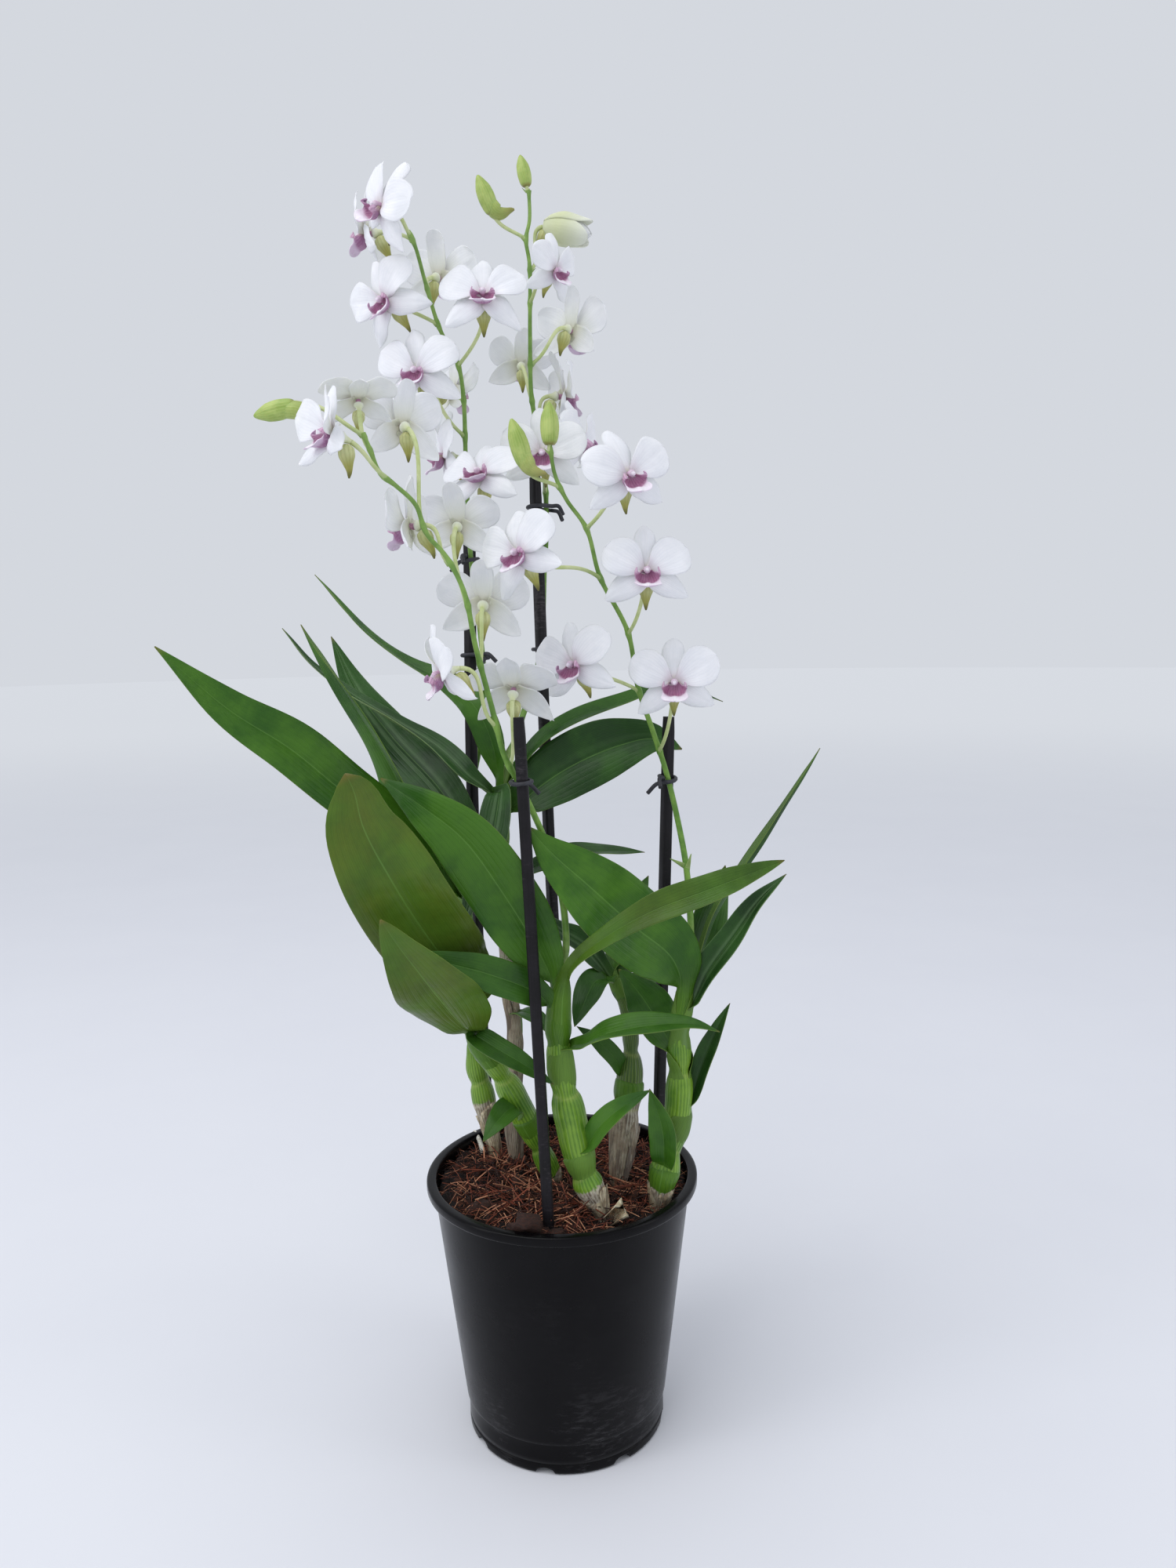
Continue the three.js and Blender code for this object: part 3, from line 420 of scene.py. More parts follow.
def grown(name, base, group, settings):
    """Runs a geometry node tree on a mesh, and keeps the plain mesh that comes out of it."""
    made = bpy.data.objects.new(name, base)
    bpy.context.collection.objects.link(made)
    modifier = made.modifiers.new("growth", "NODES")
    modifier.node_group = group
    for item in group.interface.items_tree:
        if item.item_type == "SOCKET" and item.in_out == "INPUT" and item.name in settings:
            modifier[item.identifier] = settings[item.name]
    graph = bpy.context.evaluated_depsgraph_get()
    mesh = bpy.data.meshes.new_from_object(made.evaluated_get(graph), preserve_all_data_layers=True,
                                           depsgraph=graph)
    made.modifiers.remove(modifier)
    made.data = mesh
    mesh.name = name
    return made


# %% [markdown]
# ## Shared effects
#
# Three effects come back in many finishes. Living tissue and plastic are never one flat colour, so
# a mottle blends two tones by a soft noise. Leaves, petals and sheaths all have fine veins that run
# lengthwise, which are stripes across the UV map that wobble a little. Plastic gets pale scuffs.
# Each is a node group, built once and given its own values in every material.

# %% Mottle, veins and scuffs
MOTTLE, inner, out = new_group("ShaderNodeTree", "mottle", [
    ("Place", "Vector", None), ("Light", "Color", None), ("Dark", "Color", None),
    ("Scale", "Float", 60.0), ("Low", "Float", 0.35), ("High", "Float", 0.65)],
    [("Color", "Color"), ("Mask", "Float")])
patch = noise(MOTTLE, inner["Place"], inner["Scale"], 4.0, 0.6)
share = between(MOTTLE, patch, inner["Low"], inner["High"])
MOTTLE.links.new(mix(MOTTLE, share, inner["Dark"], inner["Light"]), out["Color"])
MOTTLE.links.new(share, out["Mask"])

VEINS, inner, out = new_group("ShaderNodeTree", "veins", [
    ("Count", "Float", 18.0), ("Wobble", "Float", 0.01), ("Sharpness", "Float", 2.0)],
    [("Mask", "Float"), ("Middle", "Float"), ("Along", "Float")])
chart = out_of(VEINS, "ShaderNodeUVMap", uv_map="UVMap")
parts = put(VEINS, "ShaderNodeSeparateXYZ", {0: chart}).outputs
drift = maths(VEINS, "SUBTRACT", noise(VEINS, chart, 7.0, 3.0), 0.5)
u = maths(VEINS, "ADD", parts[0], times(VEINS, drift, inner["Wobble"]))
turns = times(VEINS, times(VEINS, u, inner["Count"]), 2 * math.pi)
wave = maths(VEINS, "ADD", times(VEINS, maths(VEINS, "COSINE", turns), 0.5), 0.5)
VEINS.links.new(maths(VEINS, "POWER", wave, inner["Sharpness"]), out["Mask"])
off_middle = maths(VEINS, "ABSOLUTE", maths(VEINS, "SUBTRACT", u, 0.5))
VEINS.links.new(between(VEINS, off_middle, 0.008, 0.035, 1.0, 0.0), out["Middle"])
VEINS.links.new(parts[1], out["Along"])

SCUFFS, inner, out = new_group("ShaderNodeTree", "scuffs", [
    ("Place", "Vector", None), ("Scale", "Float", 90.0), ("Amount", "Float", 0.5)],
    [("Mask", "Float")])
streak = out_of(SCUFFS, "ShaderNodeMapping", {
    "Vector": inner["Place"], "Scale": (1, 1, 3.5), "Rotation": (0.5, 0.3, 0)})
marks = noise(SCUFFS, streak, inner["Scale"], 6.0, 0.7)
patchy = noise(SCUFFS, inner["Place"], 22.0, 2.0)
thin = between(SCUFFS, times(SCUFFS, marks, patchy), 0.28, 0.42)
SCUFFS.links.new(times(SCUFFS, thin, inner["Amount"]), out["Mask"])


def mottled(tree, place, light, dark, scale):
    """The mottle between two tones from 0 to 255."""
    return use(tree, MOTTLE, Place=place, Light=tone(*light), Dark=tone(*dark), Scale=scale)


def veined(tree, count, wobble, sharpness):
    return use(tree, VEINS, Count=count, Wobble=wobble, Sharpness=sharpness)


# %% [markdown]
# ## The pot
#
# The pot is injection moulded from black polypropylene. Its wall widens upwards from a foot that is
# set in a little, and ends in a rolled lip that makes it stiff. The wall is thin, and the foot has
# arched slots that let water out. It is turned: one profile from the middle of the underside, up the
# outside and down the inside, spun round the axis. Points lie close together where the plastic
# bends, so the bends stay crisp under smooth shading. The slots are cut by lifting the foot's edge.

# %% Pot plan
POT = {"height": 135, "rim": 70, "lip": 5, "mouth": 65, "foot": 51.5, "step": 17, "shoulder": 1.2,
       "wall": 1.8, "floor": 2.5}
SLOT = {"count": 8, "first": 0.75, "width": 10, "height": 3.5, "inner": 47}


def wall_radius(height):
    share = max((height - POT["step"]) / (POT["height"] - POT["step"]), 0)
    foot, shoulder = POT["foot"], POT["shoulder"]
    return foot + shoulder + (POT["mouth"] + POT["wall"] - foot - shoulder) * share


def pot_profile():
    foot, step, rim, mouth, wall, floor = (
        POT[key] for key in ("foot", "step", "rim", "mouth", "wall", "floor"))
    lip = POT["height"] - POT["lip"]
    underside = [(0.05, 1.2), (20, 1.2), (40, 1.2), (47.2, 1.2), (47.8, 1.0), (48, 0.4), (48.3, 0)]
    edge = [(foot - 1.2, 0), (foot - 0.4, 0.25), (foot - 0.05, 0.9), (foot, 2), (foot, 3.6), (foot, 4.6),
            (foot - 0.35, 4.9), (foot - 0.35, 5.3), (foot, 5.6), (foot, 8), (foot, 12),
            (foot, step - 1.6), (foot + 0.1, step - 1), (foot + 1.05, step - 0.2)]
    levels = (step + 0.2, step + 1.5, 30, 50, 70, 90, 110, 122, 128, lip - 0.8)
    outside = [(wall_radius(level), level) for level in levels]
    lip_bend = [(wall_radius(lip) + 0.25, lip - 0.15), (wall_radius(lip) + 1, lip), (rim - 0.9, lip),
                (rim - 0.25, lip + 0.25), (rim, lip + 0.9), (rim, lip + 2.4), (rim, lip + 3.8),
                (rim - 0.2, lip + 4.5), (rim - 0.8, lip + 4.9), (rim - 1.8, lip + 5)]
    inside = [(mouth + 1, lip + 5), (mouth + 0.3, lip + 4.85), (mouth, lip + 4.2), (mouth - 0.25, lip),
              *((wall_radius(level) - wall, level) for level in (110, 60, 20)),
              (foot - wall, step - 2), (foot - 1.9, 3.2), (foot - 3, floor), (20, floor), (0.05, floor)]
    return np.array(underside + edge + outside + lip_bend + inside, float), len(underside + edge)


profile, foot_points = pot_profile()
print("pot profile points", len(profile))

# %% Pot body
SIDES = 256
bearings = full_circle(SIDES)
ring = np.stack([np.cos(bearings), np.sin(bearings)], -1)
radius = np.broadcast_to(profile[:, :1], (len(profile), SIDES))
height = np.broadcast_to(profile[:, 1:], (len(profile), SIDES)).copy()
pitch = 2 * np.pi / SLOT["count"]
off_slot = (bearings / pitch - SLOT["first"] + 0.5) % 1 - 0.5
reach = off_slot * pitch * POT["foot"] / (SLOT["width"] / 2)
arch = SLOT["height"] * np.sqrt(np.clip(1 - reach ** 2, 0, 1))
is_foot = (radius > SLOT["inner"]) & (np.arange(len(profile))[:, None] < foot_points)
height = np.where(is_foot, np.maximum(height, arch[None]), height)
skin = Skin()
skin.loft(np.concatenate([radius[..., None] * ring[None], height[..., None]], -1),
          np.linspace(0, 1, SIDES + 1), np.linspace(0, 1, len(profile)))

# %% [markdown]
# The plastic is satin, almost black, and a shade uneven because the mould's surface is. Long use
# leaves pale scuffs and dried water low down on the wall. The scuff group gives their mask, which
# a height mask keeps low, and the same mask makes those places duller.

# %% Pot finish
pot_finish, tree, shader = new_finish("pot_plastic_satin", IOR=1.45, Specular_IOR_Level=0.15)
place = place_of(tree)
level = put(tree, "ShaderNodeSeparateXYZ", {0: place}).outputs[2]
base = mottled(tree, place, (11, 10, 12), (5, 4, 6), 26.0)
scuff = use(tree, SCUFFS, Place=place, Scale=150.0, Amount=0.1)["Mask"]
low = between(tree, level, 0.008, 0.06, 1.0, 0.06)
worn = times(tree, scuff, low)
hairline = noise(tree, place_of(tree, (900, 900, 8)), 1.0, 2.0)
dull = maths(tree, "ADD", between(tree, noise(tree, place, 34.0, 4.0), 0.3, 0.7, 0.2, 0.3),
             times(tree, worn, 0.3))
grain = maths(tree, "ADD", times(tree, noise(tree, place, 900.0, 2.0), 0.3),
              times(tree, hairline, 0.35))
feed(tree, shader, Base_Color=mix(tree, worn, base["Color"], tone(150, 148, 152)), Roughness=dull,
     Normal=bump(tree, grain, 0.12, 0.0004))
settle(skin.piece("nursery_pot", [pot_finish]), "pot")

# %% [markdown]
# ## Bark and coir
#
# The mix is a loose heap of coconut fibre with chips of bark in it. Up close it is nothing but
# straws that lie every way and cast small shadows. Modelling each by hand is hopeless, so a
# geometry node tree scatters them: it spreads points over the top of the filling, drops one of
# three bent straws on each, turns and tilts it at random, and does the same with rough chips. Near
# the wall the pieces get shorter, so that none comes through the plastic.

# %% Filling under the scatter
MIX = {"surface": 128.6, "inset": 2.4, "seed": 11, "sides": 120}
rng = np.random.default_rng(MIX["seed"])
edge = wall_radius(MIX["surface"]) - POT["wall"] - 0.4
below = [(0.05, 3.2), (30, 3.2), (POT["foot"] - MIX["inset"], 3.4), (POT["foot"] - MIX["inset"], 15),
         (wall_radius(18) - MIX["inset"], 19), (wall_radius(70) - MIX["inset"], 70),
         (wall_radius(122) - 2.5, 122), (edge, 126.5)]
outline = np.array(below + [(edge * share, MIX["surface"]) for share in np.linspace(0.99, 0.02, 34)])
bearings = full_circle(MIX["sides"])
x = outline[:, :1] * np.cos(bearings)
y = outline[:, :1] * np.sin(bearings)
top = np.broadcast_to((np.arange(len(outline)) >= len(below))[:, None], x.shape).astype(float)
waves = np.sin(x * 0.21 + 1) + np.sin(y * 0.27) + np.sin((x - y) * 0.4)
lumps = sum(np.sin(x * a + y * b + c) for a, b, c in rng.uniform(-1.1, 1.1, (9, 3)) * (1, 1, 6))
heap = outline[:, 1:] + top * (0.8 * waves + 0.32 * lumps - 0.5)
skin = Skin("top")
skin.loft(np.stack([x, y, heap], -1), np.linspace(0, 1, MIX["sides"] + 1),
          np.linspace(0, 1, len(outline)), top=top)
filling = skin.piece("coir_filling", [])
print("filling rises to", round(heap.max(), 1), "mm")

# %% Finishes of the mix
soil_finish, tree, shader = new_finish("coir_dust", Roughness=0.95)
base = mottled(tree, place_of(tree), (28, 14, 11), (8, 4, 3), 420.0)
feed(tree, shader, Base_Color=base["Color"], Normal=bump(tree, base["Mask"], 0.9, 0.001))

straw_finish, tree, shader = new_finish("coir_straw", Roughness=0.8)
kind = mark(tree, "kind")
streaks = noise(tree, place_of(tree), 1500.0, 2.0)
colour = coats(tree, tone(36, 15, 11),
               (between(tree, kind, 0.25, 0.75), 1, (150, 76, 52)),
               (between(tree, kind, 0.72, 0.95), 1, (232, 168, 130)),
               (between(tree, streaks, 0.3, 0.7, 0.0, 0.3), 1, (60, 28, 18)))
feed(tree, shader, Base_Color=colour, Normal=bump(tree, streaks, 0.5, 0.0003))

bark_finish, tree, shader = new_finish("bark_chip", Roughness=0.85)
kind = mark(tree, "kind")
colour = mix(tree, kind, tone(58, 30, 20), tone(118, 66, 42))
ridges = noise(tree, place_of(tree, (1, 1, 3)), 520.0, 5.0, 0.7)
feed(tree, shader, Base_Color=mix(tree, between(tree, ridges, 0.35, 0.7), tone(40, 21, 15), colour),
     Normal=bump(tree, ridges, 0.9, 0.0012))


# %% Scatter tree
def random_of(tree, kind, low, high, seed):
    """A random number or vector for each point, from a fixed seed."""
    first = {"FLOAT": 2, "FLOAT_VECTOR": 0, "INT": 4}[kind]
    made = put(tree, "FunctionNodeRandomValue", {first: low, first + 1: high, "Seed": seed}, data_type=kind)
    return made.outputs[{"FLOAT": 1, "FLOAT_VECTOR": 0, "INT": 2}[kind]]


def read_mark(tree, name, kind="FLOAT"):
    return out_of(tree, "GeometryNodeInputNamedAttribute", {"Name": name}, data_type=kind)


def dressed(tree, geometry, material):
    return out_of(tree, "GeometryNodeSetMaterial", {"Geometry": geometry, "Material": material})


def joined(tree, parts):
    whole = put(tree, "GeometryNodeJoinGeometry")
    for part in parts:
        tree.links.new(part, whole.inputs[0])
    return whole.outputs[0]


LITTER, inner, out = new_group("GeometryNodeTree", "litter", [
    ("Heap", "Geometry", None), ("Straws", "Float", 150000.0), ("Straw Length", "Float", 0.016),
    ("Straw Radius", "Float", 0.016), ("Chips", "Float", 20000.0), ("Chip Size", "Float", 0.005),
    ("Seed", "Int", 4), ("Dust", "Material", None), ("Straw", "Material", None),
    ("Bark", "Material", None)], [("Mix", "Geometry")])
is_top = read_mark(LITTER, "top")
spot = out_of(LITTER, "GeometryNodeInputPosition")
flat = out_of(LITTER, "ShaderNodeVectorMath", {0: spot, 1: (1, 1, 0)}, operation="MULTIPLY")
from_axis = put(LITTER, "ShaderNodeVectorMath", {0: flat}, operation="LENGTH").outputs["Value"]
room = out_of(LITTER, "ShaderNodeMapRange", {0: from_axis, 1: 0.046, 2: 0.062, 3: 1.0, 4: 0.3})


def strewn(shapes, density, size, finish_socket, lift, tilt, seed):
    """Strews shapes over the heap, marks each with a random kind, and gives them their finish."""
    points = out_of(LITTER, "GeometryNodeDistributePointsOnFaces", {
        "Mesh": inner["Heap"], "Density": times(LITTER, is_top, density), "Seed": inner["Seed"]})
    rise = random_of(LITTER, "FLOAT_VECTOR", (0, 0, lift[0]), (0, 0, lift[1]), seed)
    raised = out_of(LITTER, "GeometryNodeSetPosition", {"Geometry": points, "Offset": rise})
    chosen = random_of(LITTER, "INT", 0, len(shapes) - 1, seed + 1)
    spin = random_of(LITTER, "FLOAT_VECTOR", (-tilt, -tilt, 0), (tilt, tilt, 6.283), seed + 2)
    length = times(LITTER, random_of(LITTER, "FLOAT", 0.45, 1.35, seed + 3), size)
    stock = joined(LITTER, [out_of(LITTER, "GeometryNodeGeometryToInstance", {0: one}) for one in shapes])
    placed_on = out_of(LITTER, "GeometryNodeInstanceOnPoints", {
        "Points": raised, "Instance": stock, "Pick Instance": True, "Instance Index": chosen,
        "Rotation": out_of(LITTER, "FunctionNodeEulerToRotation", {0: spin}),
        "Scale": times(LITTER, length, room)})
    marked = out_of(LITTER, "GeometryNodeStoreNamedAttribute", {
        "Geometry": placed_on, "Name": "kind",
        "Value": random_of(LITTER, "FLOAT", 0.0, 1.0, seed + 4)}, data_type="FLOAT", domain="INSTANCE")
    real = out_of(LITTER, "GeometryNodeRealizeInstances", {0: marked})
    return dressed(LITTER, real, inner[finish_socket])


straws = []
for middle in ((0, 0.04, 0.02), (0.1, -0.03, 0.05), (-0.15, 0.22, 0.06)):
    bent = out_of(LITTER, "GeometryNodeCurveQuadraticBezier", {
        "Resolution": 4, "Start": (-0.5, 0, 0), "Middle": middle, "End": (0.5, 0, 0)})
    section = out_of(LITTER, "GeometryNodeCurvePrimitiveCircle", {
        "Resolution": 3, "Radius": inner["Straw Radius"]})
    straws.append(out_of(LITTER, "GeometryNodeCurveToMesh", {
        "Curve": bent, "Profile Curve": section, "Fill Caps": True}))
chips = []
for seed, shape in enumerate(((1.5, 0.8, 0.34), (1.1, 0.9, 0.5)), 40):
    ball = out_of(LITTER, "GeometryNodeMeshIcoSphere", {"Radius": 0.6, "Subdivisions": 2})
    dents = random_of(LITTER, "FLOAT_VECTOR", (-0.14,) * 3, (0.14,) * 3, seed)
    rough = out_of(LITTER, "GeometryNodeSetPosition", {"Geometry": ball, "Offset": dents})
    chips.append(out_of(LITTER, "GeometryNodeTransform", {"Geometry": rough, "Scale": shape}))
whole = joined(LITTER, [
    dressed(LITTER, inner["Heap"], inner["Dust"]),
    strewn(straws, inner["Straws"], inner["Straw Length"], "Straw",
           lift=(-0.0006, 0.0038), tilt=0.75, seed=10),
    strewn(chips, inner["Chips"], inner["Chip Size"], "Bark",
           lift=(-0.001, 0.0016), tilt=0.7, seed=20)])
LITTER.links.new(whole, out["Mix"])

# %% Scatter the mix
mix_mesh = filling.data
bpy.data.objects.remove(filling)
potting_mix = grown("bark_and_coir_mix", mix_mesh, LITTER, {
    "Straws": 180000.0, "Straw Length": 0.021, "Straw Radius": 0.0135, "Chips": 9000.0,
    "Chip Size": 0.0058, "Seed": 4, "Dust": soil_finish, "Straw": straw_finish, "Bark": bark_finish})
settle(potting_mix, "potting_mix")

# %% [markdown]
# A few lumps of bark are far larger than the rest, and a dry root sticks out at the back. Each has a
# place of its own, so a scatter can't make them. They are tubes with a rough, flattened girth.

# %% Large chips and a loose root
CHUNKS = [((-16.5, -57, 133.5), (0.45, -0.4, 0.75), 18, 6.5), ((-3, -58, 129), (0.8, 0.5, 0.3), 11, 4),
          ((-9, -53, 129), (0.2, 0.9, 0.3), 12, 4.5), ((-40, -30, 129), (1, 0.2, 0.2), 13, 5)]
CHUNK_ROWS, CHUNK_SIDES, CHUNK_SEED = 7, 9, 5
ROOT = [[-44, 34, 128], [-47, 42, 132], [-50, 48, 134], [-51, 53, 129]]
ROOT_ROWS, ROOT_SIDES = 20, 10
rng = np.random.default_rng(CHUNK_SEED)
skin = Skin("kind")
for middle, way, length, thick in CHUNKS:
    stops = np.linspace(-0.5, 0.5, CHUNK_ROWS)
    line = np.array(middle) + stops[:, None] * length * unit(way)
    lumps = 1 + rng.uniform(-0.24, 0.24, (CHUNK_ROWS, CHUNK_SIDES))
    flat = 0.5 + 0.5 * np.abs(np.cos(full_circle(CHUNK_SIDES)))[None]
    ends = np.clip((0.5 - np.abs(stops)) * 7, 0.45, 1)[:, None] ** 0.6
    skin.tube(line, thick * lumps * flat * ends, CHUNK_SIDES, kind=0.1)
root_radii = 1.5 - 0.5 * np.linspace(0, 1, ROOT_ROWS)
skin.tube(even_line(ROOT, ROOT_ROWS), root_radii, ROOT_SIDES, finish=1, kind=1.0)
root_finish, tree, shader = new_finish("dry_root", Roughness=0.8)
ridges = noise(tree, place_of(tree), 400.0, 3.0)
feed(tree, shader, Normal=bump(tree, ridges, 0.5, 0.0005),
     Base_Color=mix(tree, between(tree, ridges, 0.3, 0.7), tone(196, 190, 174), tone(238, 236, 226)))
settle(skin.piece("large_chips_and_root", [bark_finish, root_finish]), "potting_mix")

# %% [markdown]
# ## Plans of the plant
#
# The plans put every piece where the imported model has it. A cane has a path from the mix up, a
# girth along it, and its leaves: the midrib, the widest width, the way that the upper face looks,
# how far its halves fold up, its outline and its twist. A spray has the path of its flower stem,
# and for each bloom its place, the height at which its stalk leaves the stem, the way it faces,
# its roll and its span.

# %% Stakes and ties
STAKES = {
    "stake_a": [[-37, 37, 60], [-42, 42, 150], [-45, 42, 315], [-42, 40, 477]],
    "stake_b": [[2, 50, 60], [-1, 54, 170], [-5, 50, 307], [-8, 44, 492]],
    "stake_c": [[-3, -50.5, 60], [-14, -50, 375]],
    "stake_d": [[48, 7, 60], [58, 12, 369]],
}

TIES = {
    "tie_a_low": {"stake": "stake_a", "stem": "spray_a", "height": 400},
    "tie_a_high": {"stake": "stake_a", "stem": "spray_a", "height": 450},
    "tie_b_low": {"stake": "stake_b", "stem": "spray_b", "height": 403},
    "tie_b_high": {"stake": "stake_b", "stem": "spray_b", "height": 476},
    "tie_c": {"stake": "stake_c", "stem": "spray_c", "height": 345},
    "tie_d": {"stake": "stake_d", "stem": "spray_d", "height": 338},
}

